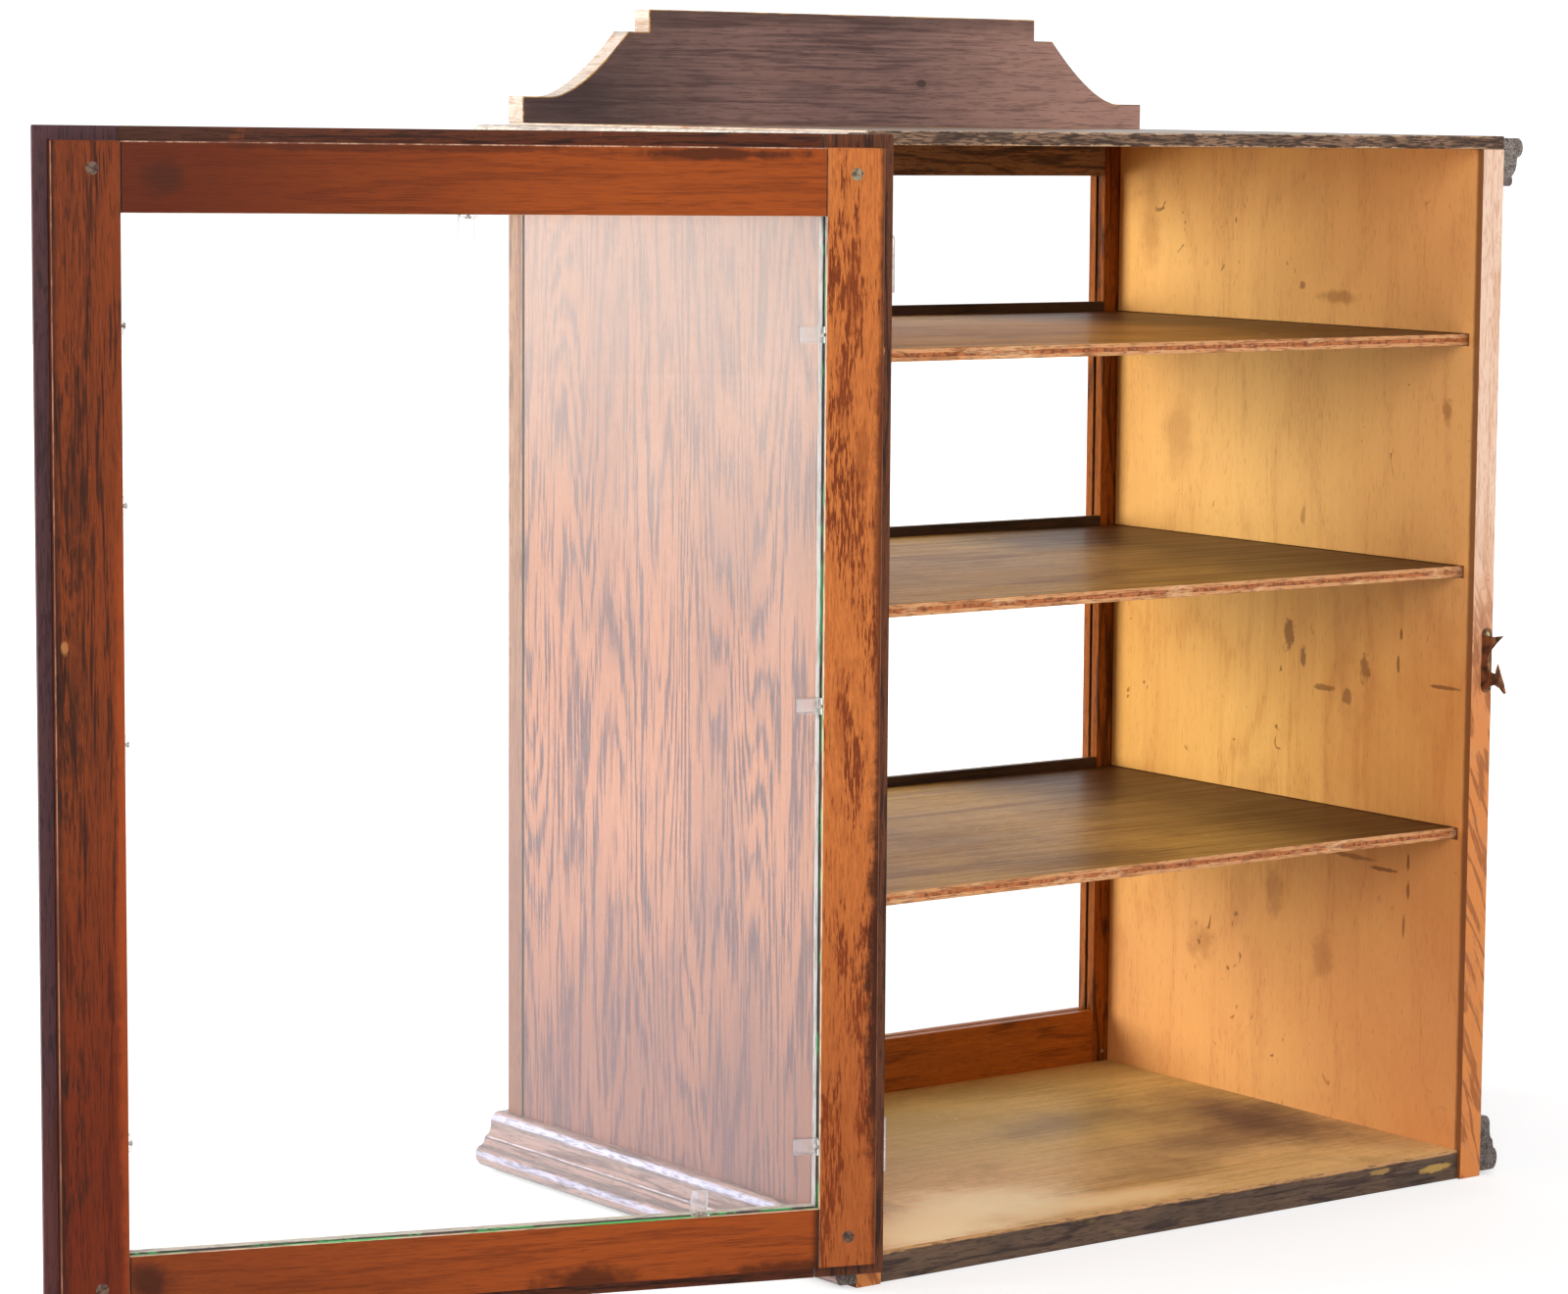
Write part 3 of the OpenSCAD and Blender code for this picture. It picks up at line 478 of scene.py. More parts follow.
doorParts = ["door_hinge_stile", "door_latch_stile", "door_top_rail", "door_bottom_rail"]
hingeStileBox, latchStileBox, topRailBox, bottomRailBox = [closedBox([part]) for part in doorParts]
doorLow, doorHigh = closedBox(doorParts)
lip = {"width": 10 * mm, "thick": 9.5 * mm, "groove": 6 * mm}
lipLevel = doorLow.y + lip["thick"]
wallLevel = lipLevel + lip["groove"]
opening = {"left": hingeStileBox[1].x, "right": latchStileBox[0].x, "low": bottomRailBox[1].z,
           "high": topRailBox[0].z}
raisedLeft, raisedRight = doorLow.x + lip["width"], doorHigh.x - lip["width"]
raisedTop = doorHigh.z - lip["width"]
topLow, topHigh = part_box("top_board")
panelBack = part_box("side_panel_left")[1].y
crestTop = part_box("crest_board")[1].z
print("door box", [round(value, 4) for value in (*doorLow, *doorHigh)], opening)


# rows for faces square to one axis: place and reach in the two other axes, strength, colour, raggedness,
# ripple size, softness
def marksOn(axis, level, depth, rows):
    number = "xyz".index(axis)

    def filled(pair, value):
        return (*pair[:number], value, *pair[number:])

    return [(filled(row[:2], level), filled(row[2:4], depth), *row[4:]) for row in rows]


# marks found in the photo
doorFace, panelFace, floorLevel, crestFace = -0.227, 0.2965, 0.024, 0.217
inkBrown, smudge = 0x6c3a20, 0x965c34
stileMarks = marksOn("y", doorFace, 1, [
    (raisedLeft, 0.24, 0.013, 0.21, 0.9, 0x3e2014, 1.5, 90, 0.7),
    (raisedLeft, 0.55, 0.009, 0.22, 0.7, 0x683620, 1.2, 90, 0.6),
    (-0.2705, 0.735, 0.007, 0.032, 0.45, 0x924c26, 1.5, 110),
    (-0.264, 0.665, 0.006, 0.03, 0.35, 0x96502a, 1.5, 110),
    (-0.2789, 0.616, 0.006, 0.034, 0.45, 0x8c4824, 1.5, 110),
    (-0.265, 0.43, 0.007, 0.04, 0.35, 0x964e26, 1.5, 110)])
latchMarks = marksOn("y", doorFace, 1, [
    (0.278, 0.6, 0.012, 0.09, 0.5, 0x36201b, 1.8, 130, 0.9),
    (0.281, 0.47, 0.01, 0.09, 0.45, 0x36201b, 1.8, 130, 0.9),
    (0.2475, 0.3, 0.009, 0.4, 0.6, 0xbe6036, 0.8, 50, 0.6),
    (0.288, 0.495, 0.003, 0.006, 0.75, 0xce9c7c, 1.0, 160, 0.5)])
topRailMarks = marksOn("y", doorFace, 1, [
    (-0.175, 0.8335, 0.085, 0.0055, 0.8, 0x482216, 1.3, 60, 0.6),
    (0.06, 0.8355, 0.17, 0.0035, 0.6, 0x502618, 1.3, 60, 0.6),
    (0.2166, 0.8146, 0.022, 0.018, 0.65, 0x4a261c, 1.0, 50, 0.8)])
bottomRailMarks = marksOn("y", doorFace, 1, [
    (-0.0782, 0.029, 0.046, 0.015, 0.75, 0x422012, 1.2, 45, 0.6),
    (-0.26, 0.027, 0.13, 0.008, 0.7, 0x462212, 1.2, 60, 0.6),
    (0.236, 0.052, 0.026, 0.02, 0.85, 0x462014, 1.2, 50, 0.8)])
lipMarks = marksOn("y", lipLevel, 1, [
    (-0.2966, 0.694, 0.003, 0.005, 0.9, 0xdea674, 0.8, 160),
    (-0.296, 0.12, 0.002, 0.012, 0.8, 0xd6aa82, 1.4, 160),
    (-0.2962, 0.06, 0.002, 0.014, 0.8, 0xd6aa82, 1.4, 160),
    (0.299, 0.1, 0.012, 0.12, 0.35, 0x703c32, 0.8, 30, 0.8)])
panelMarks = marksOn("x", panelFace, 0.3, [
    (-0.0157, 0.4286, 0.008, 0.018, 0.65, inkBrown, 2.0, 130, 0.5),
    (-0.0348, 0.4112, 0.004, 0.011, 0.65, inkBrown, 1.6, 130, 0.5),
    (-0.06, 0.388, 0.016, 0.003, 0.6, inkBrown, 1.7, 90),
    (-0.09, 0.384, 0.006, 0.008, 0.55, inkBrown, 1.7, 110),
    (-0.1117, 0.4082, 0.007, 0.015, 0.6, inkBrown, 2.0, 130, 0.5),
    (-0.1547, 0.4418, 0.002, 0.006, 0.7, inkBrown, 1.2, 160),
    (-0.1519, 0.4171, 0.002, 0.009, 0.7, inkBrown, 1.2, 160),
    (-0.21, 0.403, 0.022, 0.0018, 0.7, inkBrown, 1.4, 120),
    (-0.2034, 0.628, 0.008, 0.014, 0.6, smudge, 1.6, 90, 0.6),
    (-0.0245, 0.7236, 0.004, 0.004, 0.6, 0x78403e, 1.4, 160),
    (-0.0686, 0.7155, 0.03, 0.008, 0.5, smudge, 1.6, 60, 0.7),
    (-0.0313, 0.5313, 0.004, 0.012, 0.5, smudge, 1.6, 110, 0.6),
    (-0.169, 0.2534, 0.002, 0.008, 0.7, inkBrown, 1.4, 160),
    (-0.1696, 0.23, 0.002, 0.009, 0.7, inkBrown, 1.4, 160),
    (-0.165, 0.2, 0.002, 0.01, 0.6, inkBrown, 1.4, 160),
    (-0.1009, 0.25, 0.03, 0.0025, 0.7, smudge, 1.6, 110),
    (-0.14, 0.244, 0.018, 0.002, 0.7, inkBrown, 1.6, 110),
    (-0.0031, 0.2102, 0.016, 0.03, 0.4, smudge, 1.6, 60, 0.7),
    (-0.065, 0.16, 0.02, 0.026, 0.35, smudge, 1.6, 50, 0.7),
    (0.0916, 0.1497, 0.024, 0.024, 0.4, smudge, 1.6, 50, 0.7),
    (0.1731, 0.7679, 0.02, 0.05, 0.35, smudge, 1.4, 30, 0.8),
    (0.1292, 0.5915, 0.03, 0.045, 0.35, smudge, 1.4, 30, 0.8)])
floorMarks = marksOn("z", floorLevel, 1, [
    (0.095, 0.03, 0.15, 0.075, 0.6, 0x64503e, 1.0, 14, 1.0),
    (0.145, -0.09, 0.17, 0.08, 0.75, 0x543c34, 1.0, 14, 1.0),
    (0.235, -0.04, 0.13, 0.17, 1.0, 0x4e3632, 1.0, 16, 1.0),
    (0.0448, -0.15, 0.08, 0.05, 0.6, 0x7c5a3a, 1.2, 18, 0.8),
    (0.0, 0.1, 0.12, 0.08, 0.3, 0x846838, 1.0, 16, 0.8),
    (-0.1448, -0.1638, 0.12, 0.075, 1.0, 0xffe2b4, 1.0, 18, 0.8),
    (-0.23, -0.2, 0.1, 0.07, 1.0, 0xffdeac, 1.0, 18, 0.8),
    (-0.04, -0.205, 0.12, 0.03, 0.8, 0xffd6a0, 1.0, 20, 0.8),
    (0.2589, -0.1927, 0.06, 0.025, 0.4, 0xd6aa76, 1.0, 24, 0.8)])
crestMarks = marksOn("y", crestFace, 1, [
    (0.077, 0.8874, 0.006, 0.004, 0.85, 0x32201c, 0.8, 150),
    (0.077, 0.8874, 0.03, 0.008, 0.35, 0x543c36, 1.6, 60, 0.8),
    (-0.27, 0.87, 0.06, 0.022, 0.6, 0x3a2a28, 1.0, 30, 0.8)])

# painted light and shade along a moulding: pale bands are painted highlights on its rounds, its shoulder and
# the crown's upper rim, and dark bands are painted shade in its hollows and along its bottom edge; from and
# to in mm above the counter, softness, strength, colour
mouldingLightBands = [(2, 6, 2.0, 0.7, 0x4c322a), (13.5, 16.0, 2.5, 0.55, 0xbeb8ce),
                 (20.4, 21.8, 1.2, 0.75, 0x5c4642), (27.4, 28.2, 0.5, 0.8, 0x422e2a),
                 (29.0, 29.5, 0.4, 0.5, 0xcebec8), (39.6, 41.4, 1.2, 0.6, 0x685450),
                 (43.8, 46.6, 2.2, 0.6, 0xc6c0d6), (845.2, 853, 1.8, 0.65, 0xf0d6bc)]
mouldingLightLayers = [("z", low * mm, high * mm, soft * mm, 1.5 * mm, 14, amount, colour, 0.8, 120)
                  for low, high, soft, amount, colour in mouldingLightBands]

# tones are light, dark and pores: the wood goes from light to dark where bands and fibres are strong
woodLooks = dict(
    outerOak=dict(
        gain=(0.43, 0.33, 0.285), tones=(0xf4b486, 0x845c5e, 0xa06246), bump=0.02, figure=(9, 9, 1.0),
        rings=28.0, streaks=(480, 480, 19), jag=3.2, cut=0.44, bands=0.9, fibres=0.15,
        poreSize=(900, 900, 150), pores=0.22, poreCut=0.56, poreFollow=-0.05, roughness=(0.34, 0.5),
        coat=0.15, seed=(0.31, 0.2, 0.45), stains=[((7, 7, 2.6), 0.45, 0x987070, 0.47, 0.66)],
        # painted reflection: the outer face turns whitish towards the top as a painted haze of reflected
        # light, and darker mauve towards the bottom where that painted haze thins
        fades=[("z", 0.36, 0.78, 0.6, 0xfffffc, 0.12), ("z", 0.36, 0.04, 0.5, 0x8a5e70, 0.12),
               # a dark line just in front of the back edge: painted shade in the seam with the window stile
               ("y", panelBack - 2.4 * mm, panelBack - 1.4 * mm, 0.95, 0x180c08)],
        layers=[("y", panelBack - 8.2 * mm, panelBack - 7.6 * mm, 0.4 * mm, 0.6 * mm, 30, 0.8, 0x683a2a,
                 0x542c1e, 200)]),
    innerPly=dict(
        gain=(1.08, 1.02, 0.86), specular=0.2, tones=(0xeebc70, 0xc88c4e, 0xa06634), figure=(5, 5, 2.4),
        streaks=(150, 150, 9), jag=0.9, cut=0.52, bands=0.14, ringShade=0.22, fibres=0.16, pores=0.25,
        poreCut=0.63, roughness=(0.45, 0.6), seed=(2.3, 0.7, 1.9), spots=panelMarks,
        stains=[((3.2, 3.2, 3.0), 0.45, 0xc07e48, 0.46, 0.7),
                ((13, 13, 9), 0.32, 0x965c32, 0.54, 0.74, (3, 1, 7)),
                ((5, 5, 5), 0.35, 0xfad07c, 0.52, 0.72, (9, 4, 2))],
        # painted light and shade on the inner faces: browner towards the front as painted shade, and more
        # golden towards the back as painted light from the window side
        fades=[("y", 0.04, -0.236, 0.58, 0xc46c3a, 0.1), ("z", 0.4, 0.56, 0.32, 0xfcd092, 0.12),
               ("y", 0.02, 0.2, 0.3, 0xd69046, 0.12), ("z", 0.34, 0.12, 0.5, 0xde9e70, 0.16),
               ("y", -0.23, -0.2342, 0.8, 0x62301a, 0.002, 60)],
        nicks=[((90, 60, 40), 7.0, 0.69, 0.7, 0x703e1e)]),
    panelEdge=dict(
        tones=(0xf2d0b8, 0xe0b292, 0xc4845c), figure=(30, 30, 3), rings=6.0, bands=0.4, pores=0.4,
        roughness=(0.45, 0.6), seed=(1.1, 0, 3.3),
        stains=[((60, 60, 9), 0.4, 0x9e8076, 0.6, 0.75)],
        fades=[("z", 0.54, 0.34, 0.92, 0xda802c, 0.16, 9)],
        flames=[("z", 0.56, 0.4, 0.7, 0x904c20, (0, math.radians(24), 0), (0.4, 0, 1.7), (50, 50, 9), 4.5,
                 0.4, (400, 400, 40), 1.2)], nicks=[((160, 160, 40), 12.0, 0.6, 0.6, 0xb0704c)]),
    frameOak=dict(
        gain=(1.0, 1.06, 0.25), specular=0.15, tones=(0x9c4e22, 0x5c2a10, 0x30160a), figure=(30, 30, 3),
        rings=7.0, fibres=0.4, coat=0.1, stains=[((10, 10, 5), 0.45, 0x482212, 0.48, 0.7)]),
    stileEdge=dict(
        gain=(0.485, 0.37, 0.275), tones=(0xdebea4, 0xa4806c, 0x6e4836), figure=(60, 60, 3), rings=10.0,
        streaks=(900, 900, 18), fibres=0.5, roughness=(0.4, 0.55), coat=0.1,
        fades=[("z", 0.62, 0.2, 0.8, 0xa6705c, 0.1),
               # the dark line just behind the panel's back edge is painted shade in the seam
               ("y", panelBack + 1.4 * mm, panelBack + 0.6 * mm, 0.92, 0x1e100c)]),
    railOak=dict(
        gain=(1.05, 1.22, 0.5), specular=0.2, tones=(0xaa5420, 0x743412, 0x48220e), grain="x",
        figure=(30, 30, 3), rings=7.0, bands=0.35, fibres=0.35, pores=0.3, coat=0.1,
        stains=[((4, 10, 10), 0.3, 0x502610, 0.48, 0.7)]),
    railDark=dict(
        gain=(2.2, 3.6, 4.4), specular=0.2, tones=(0x704228, 0x46281a, 0x24160e), grain="x",
        figure=(30, 30, 3), rings=6.0, fibres=0.4, roughness=(0.4, 0.55)),
    ledgeDark=dict(
        tones=(0x42281a, 0x28170f, 0x1a0f0a), grain="x", figure=(40, 40, 4), rings=5.0,
        roughness=(0.4, 0.55), fades=[("y", 0.2205, 0.2225, 0.7, 0xb0823c)]),
    crestWood=dict(
        gain=(1.08, 1.03, 1.08), tones=(0x8a6a5e, 0x5a423e, 0x3c2824), grain="x", figure=(26, 26, 2.2),
        rings=7.0, streaks=(420, 420, 9), bands=0.3, fibres=0.5, pores=0.35, poreCut=0.57,
        poreSize=(800, 800, 60), roughness=(0.45, 0.62), seed=(4.2, 1.3, 0.5), spots=crestMarks,
        stains=[((6, 6, 26), 0.5, 0x4e3836, 0.47, 0.7),
                ((9, 9, 40), 0.35, 0xb0826c, 0.52, 0.74, (2, 5, 3))],
        fades=[("x", -0.08, -0.28, 0.75, 0x3c2d2c, 0.12), ("x", 0.04, 0.26, 0.6, 0xbe9480, 0.12),
               ("z", crestTop - 18 * mm, crestTop, 0.5, 0x422c24, 0.02, 30)]),
    crestEdge=dict(
        gain=(0.74, 0.7, 0.66), tones=(0xe8ded4, 0xc4ac98, 0xa06e4a), grain="y", figure=(60, 60, 8),
        rings=5.0, bands=0.4, pores=0.3, roughness=(0.4, 0.6),
        stains=[((40, 40, 40), 0.6, 0xbe7846, 0.56, 0.7)]),
    crestRim=dict(
        tones=(0xc4964e, 0x965c32, 0x603c28), grain="x", figure=(60, 60, 8), rings=5.0,
        roughness=(0.4, 0.55), stains=[((30, 30, 30), 0.75, 0x543a32, 0.46, 0.6)]),
    topWood=dict(
        tones=(0x967a62, 0x685240, 0x3c2a20), grain="x", figure=(20, 20, 2), rings=7.0, fibres=0.4,
        roughness=(0.25, 0.4), coat=0.4, stains=[((6, 6, 6), 0.5, 0x5c4436, 0.48, 0.7)]),
    topEdge=dict(
        gain=(1.25, 1.06, 0.96), tones=(0x806a56, 0x503c30, 0x281c14), grain="x", figure=(60, 60, 8),
        rings=7.0, pores=0.8, poreCut=0.5, roughness=(0.5, 0.65), bump=0.6,
        stains=[((30, 30, 120), 0.7, 0x423026, 0.45, 0.62)],
        # a pale rim along the board's edges: worn edges together with a painted highlight
        edges=[(topLow, topHigh, 2.6 * mm, 0.95, 60.0, 0.75, 0xd6c0a0)]),
    shelfPly=dict(
        gain=(1.62, 1.52, 0.85), specular=0.2, tones=(0xae8a5c, 0x7c5832, 0x54381e), grain="x",
        figure=(8, 8, 1.5), rings=3.0, streaks=(160, 160, 6), bands=0.35, fibres=0.35,
        pores=0.3, roughness=(0.42, 0.56), coat=0.08, seed=(0.4, 3.1, 0.2),
        stains=[((7, 7, 7), 0.45, 0x644426, 0.46, 0.7), ((3, 3, 3), 0.35, 0xb49468, 0.52, 0.72, (5, 2, 1))],
        fades=[("x", 0.02, 0.22, 0.97, 0x341908, 0.2, 6)],
        nicks=[((40, 90, 40), 8.0, 0.72, 0.6, 0xd2bea0)]),
    floorPly=dict(
        gain=(1.22, 1.32, 1.34), specular=0.2, tones=(0xe2b478, 0xbc8c54, 0x785632), grain="x",
        figure=(6, 6, 1.4), rings=3.0, streaks=(160, 160, 6), bands=0.35, fibres=0.35,
        pores=0.25, roughness=(0.42, 0.56), coat=0.08, seed=(1.4, 0.1, 2.2), spots=floorMarks,
        stains=[((9, 9, 9), 0.4, 0x8c6840, 0.5, 0.68, (4, 4, 0))],
        fades=[("y", -0.12, 0.02, 0.6, 0xb0904c, 0.1)], nicks=[((45, 90, 40), 8.0, 0.72, 0.7, 0xeedec4)]),
    boardEdge=dict(
        tones=(0x6c5442, 0x46342c, 0x2c201c), grain="x", figure=(40, 40, 5), rings=6.0, fibres=0.4,
        roughness=(0.5, 0.65), bump=0.4,
        stains=[((16, 16, 40), 0.5, 0x3c322c, 0.45, 0.68),
                ((26, 26, 60), 0.5, 0x96804c, 0.6, 0.72, (2, 2, 5))],
        fades=[("z", 0.0205, 0.0222, 0.85, 0xd6a068, 0.002, 60)],
        spots=[((0.27, -0.239, 0.012), (0.02, 1, 0.004), 0.7, 0xcea454, 1.4, 90),
               ((0.21, -0.239, 0.017), (0.014, 1, 0.003), 0.6, 0xc49c54, 1.4, 90)]),
    # its layers are painted highlights and painted shade along the profile
    mouldingOak=dict(
        gain=(1.06, 1.24, 1.36), layers=mouldingLightLayers, tones=(0x966c5e, 0x623e36, 0x38221e), grain="y",
        figure=(40, 40, 3), rings=6.0, fibres=0.4, roughness=(0.22, 0.36), specular=0.5, coat=0.6,
        stains=[((20, 4, 20), 0.4, 0x54362e, 0.48, 0.7)]),
    endGrain=dict(
        tones=(0x8c827c, 0x544842, 0x322824), grain="y", figure=(160, 160, 10), rings=5.0,
        streaks=(900, 900, 200), poreSize=(1100, 1100, 100), poreCut=0.5, pores=0.7,
        roughness=(0.5, 0.7), bump=0.7, stains=[((90, 90, 90), 0.5, 0x3a2e28, 0.5, 0.65)]),
    # painted shade in the seam between a side panel and its window stile
    seamShade=dict(
        tones=(0x22140e, 0x140c08, 0x0a0604), roughness=(0.6, 0.7)),
    rawOak=dict(
        tones=(0xc89660, 0x96643c, 0x603c24), figure=(30, 30, 3), rings=6.0, roughness=(0.5, 0.65)),
    hingeStile=dict(
        gain=(0.79, 0.62, 0.42), specular=0.15, tones=(0xe29258, 0x844220, 0x70361a), onDoor=True,
        figure=(28, 28, 6), rings=3.4, streaks=(760, 760, 80), jag=2.4, cut=0.52, bands=0.6,
        fibres=0.42, poreSize=(900, 900, 110), pores=0.3, poreCut=0.63, poreFollow=0.1,
        seed=(0.63, 0.4, 0.37), spots=stileMarks,
        fades=[("x", raisedLeft + 5.5 * mm, raisedLeft + 0.5 * mm, 0.85, 0x4c2618, 0.005, 60),
               ("z", 0.42, 0.1, 0.45, 0x8e421a, 0.1)]),
    # the latch stile's tones are darker than the hinge stile's: partly a darker stain, partly painted shade
    latchStile=dict(
        gain=(0.72, 0.53, 0.27), specular=0.15, tones=(0x964e2c, 0x4a2618, 0x301a12), onDoor=True,
        figure=(26, 26, 1.6), streaks=(620, 620, 22), jag=2.2, cut=0.52, bands=0.6,
        poreSize=(1000, 1000, 60), pores=0.4, seed=(1.9, 0.1, 2.7), spots=latchMarks,
        flames=[("x", 0.258, 0.29, 0.8, 0x301c18, (0, 0, 0), (0.7, 0, 2.4), (24, 24, 7), 2.6, 0.62,
                 (560, 560, 45), 2.6)],
        stains=[((30, 30, 5), 0.3, 0x46261c, 0.5, 0.68)],
        fades=[("z", 0.46, 0.14, 0.75, 0x702809, 0.1),
               ("x", raisedRight - 6 * mm, raisedRight - 1 * mm, 0.7, 0x321e1a, 0.006, 60)]),
    topRail=dict(
        gain=(0.68, 0.56, 0.29), specular=0.15, tones=(0xbe6230, 0x88401c, 0x502414), onDoor=True,
        grain="x", figure=(28, 28, 2.4), rings=7.0, streaks=(420, 420, 14), bands=0.2, fibres=0.25,
        poreSize=(1000, 1000, 50), pores=0.25, seed=(3.3, 2.2, 0.8), spots=topRailMarks,
        fades=[("x", -0.14, 0.24, 0.9, 0x622307, 0.1),
               ("x", opening["left"] + 1.2 * mm, opening["left"] + 0.6 * mm, 0.9, 0x22100a),
               ("x", opening["right"] - 1.2 * mm, opening["right"] - 0.6 * mm, 0.9, 0x22100a)]),
    doorLip=dict(
        gain=(0.9, 0.68, 0.45), specular=0.2, tones=(0x704836, 0x422a22, 0x281a16), onDoor=True,
        figure=(60, 60, 5), rings=6.0, streaks=(600, 600, 20), fibres=0.4, seed=(0.3, 0.8, 5.1),
        spots=lipMarks, fades=[("x", 0.1, 0.27, 0.85, 0x4c364c, 0.1)],
        stains=[((60, 60, 10), 0.5, 0xbe7844, 0.64, 0.72)]),
    doorOuter=dict(
        tones=(0x965430, 0x60321c, 0x361c12), onDoor=True, figure=(24, 24, 2.6), rings=7.0,
        fibres=0.4, roughness=(0.3, 0.44), coat=0.4, seed=(7.1, 0.2, 1.5)),
    creamEdge=dict(
        tones=(0xcea68a, 0xa07056, 0x784a36), onDoor=True, figure=(90, 90, 30), rings=4.0,
        roughness=(0.45, 0.6), stains=[((40, 40, 14), 0.92, 0x683a26, 0.46, 0.6)]),
    revealNear=dict(
        tones=(0xd6ba9c, 0xb08e70, 0x78543c), onDoor=True, figure=(60, 60, 12), rings=5.0,
        roughness=(0.5, 0.7), bump=0.5,
        # the dark band next to the groove is painted shade in the gap beside the glass, with some dirt, and
        # its green pits are paint remains
        layers=[("y", lipLevel, wallLevel + 3.4 * mm, 0.6 * mm, 2 * mm, 60, 0.95, 0x2c1c14, 0x348c46, 22)]),
    # the groove is dark as painted shade beside the glass, with some dirt; its green patches are paint
    # remains
    revealGroove=dict(
        tones=(0x3c281e, 0x1e1410, 0x100a08), onDoor=True, figure=(60, 60, 12), rings=5.0,
        roughness=(0.6, 0.8), stains=[((30, 60, 9), 0.9, 0x34a852, 0.55, 0.6)]),
    revealFar=dict(
        gain=(0.66, 0.68, 0.68), tones=(0xd4ceca, 0xaca098, 0x6e5a4c), onDoor=True, figure=(60, 60, 12),
        rings=5.0, roughness=(0.5, 0.7), bump=0.5, stains=[((70, 70, 30), 0.7, 0x5c4030, 0.6, 0.68)]))


# a look that stands on another one, with some of its values changed
def basedOn(base, **changes):
    return dict(woodLooks[base], **changes)


woodLooks["mouldingAcross"] = basedOn("mouldingOak", grain="x")
# the top board's left side face in pale cream: a painted highlight of the bright light behind it
woodLooks["topSideHighlight"] = basedOn("crestEdge", gain=(0.95, 0.86, 0.76))
woodLooks["crownEnd"] = basedOn("endGrain", gain=(1.5, 1.5, 1.5))
woodLooks["latchRim"] = basedOn("creamEdge", tones=(0x9e6a52, 0x643c2e, 0x784a36))
woodLooks["hingeRim"] = basedOn("creamEdge", tones=(0x965c3a, 0x542e1c, 0x784a36))
woodLooks["bottomRail"] = basedOn(
    "topRail", seed=(5.3, 0.2, 1.8), spots=bottomRailMarks,
    fades=[("x", -0.1, 0.26, 0.6, 0x76361c, 0.1),
           ("x", opening["left"] + 8 * mm, opening["left"] + 1 * mm, 0.85, 0x30160e, 0.003, 60),
           ("x", opening["right"] - 1.2 * mm, opening["right"] - 0.6 * mm, 0.9, 0x22100a)])
woodLooks["lipAcross"] = basedOn("doorLip", grain="x", spots=[], gain=(0.8, 0.46, 0.24),
                                 fades=[("x", 0.05, 0.27, 0.7, 0x463430, 0.1)])
woodLooks["outerAcross"] = basedOn("doorOuter", grain="x")
woodLooks["nearAcross"] = basedOn("revealNear", grain="x",
                                  stains=[((9, 60, 60), 0.95, 0x3caa56, 0.54, 0.6)])
woodLooks["grooveAcross"] = basedOn("revealGroove", grain="x")
woodLooks["farAcross"] = basedOn("revealFar", grain="x", tones=(0xdeccb8, 0xaca098, 0x6e5a4c))
for shelf in ("upper", "middle", "lower"):
    shelfLow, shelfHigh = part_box("shelf_" + shelf)
    woodLooks["plyEdge_" + shelf] = dict(
        tones=(0xd89c68, 0xba7848, 0x6e3e22), grain="x", figure=(40, 40, 5), rings=5.0,
        streaks=(420, 420, 30), bands=0.5, fibres=0.35, roughness=(0.5, 0.65), bump=0.6,
        stains=[((30, 30, 90), 0.4, 0xeec494, 0.54, 0.64)],
        layers=[("z", shelfLow.z + 3.4 * mm, shelfHigh.z - 3.4 * mm, 0.5 * mm, 0.8 * mm, 60, 0.9, 0xb66432,
                 0x783c1c, 260)])

# the tint of light through glass, and the fine texture of metal
shadowTint = (0.94, 0.95, 0.95, 1)
metalTexture = {"size": 900, "bump": 0.2, "depth": 0.2 * mm}


def makeGlass(name, tint, through, roughness, ior):
    material, tree, shader = newMaterial(name, roughness=roughness, Transmission_Weight=through, IOR=ior)
    smear = useGroup(tree, patchGroup, Vector=patternSpace(tree), Size=(9, 9, 5), Low=0.35, High=0.8)
    tree.links.new(mixColour(tree, smear["Mask"], tint, (1, 1, 1, 1)), shader.inputs["Base Color"])
    shadowGlass = addNode(tree, "ShaderNodeBsdfTransparent")
    shadowGlass.inputs["Color"].default_value = shadowTint
    shadowRay = addNode(tree, "ShaderNodeLightPath").outputs["Is Shadow Ray"]
    tree.links.new(mixShaders(tree, shadowRay, shader.outputs[0], shadowGlass.outputs[0]),
                   tree.nodes["Material Output"].inputs["Surface"])
    return material


def makeMetal(name, bright, dull, metallic, roughness, wearSize=90.0):
    material, tree, shader = newMaterial(name, Metallic=metallic)
    place = patternSpace(tree)
    worn = useGroup(tree, patchGroup, Vector=place, Size=(wearSize, wearSize, wearSize), Low=0.4, High=0.65)
    tree.links.new(mixColour(tree, worn["Mask"], bright, dull), shader.inputs["Base Color"])
    tree.links.new(remap(tree, worn["Mask"], 0.0, 1.0, *roughness), shader.inputs["Roughness"])
    texture = noise(tree, place, scale=metalTexture["size"], detail=3.0)
    bumpNormal(tree, shader, texture, metalTexture["bump"], metalTexture["depth"])
    return material


# tint, share that passes through, roughness, index of refraction
glassLooks = {"paneGlass": ((0.97, 0.98, 0.985, 1), 0.95, 0.0, 1.45),
              "showGlass": ((0.98, 0.99, 0.985, 1), 0.98, 0.0, 1.45),
              "clipPlastic": ((0.99, 0.995, 1.0, 1), 0.97, 0.0, 1.49)}

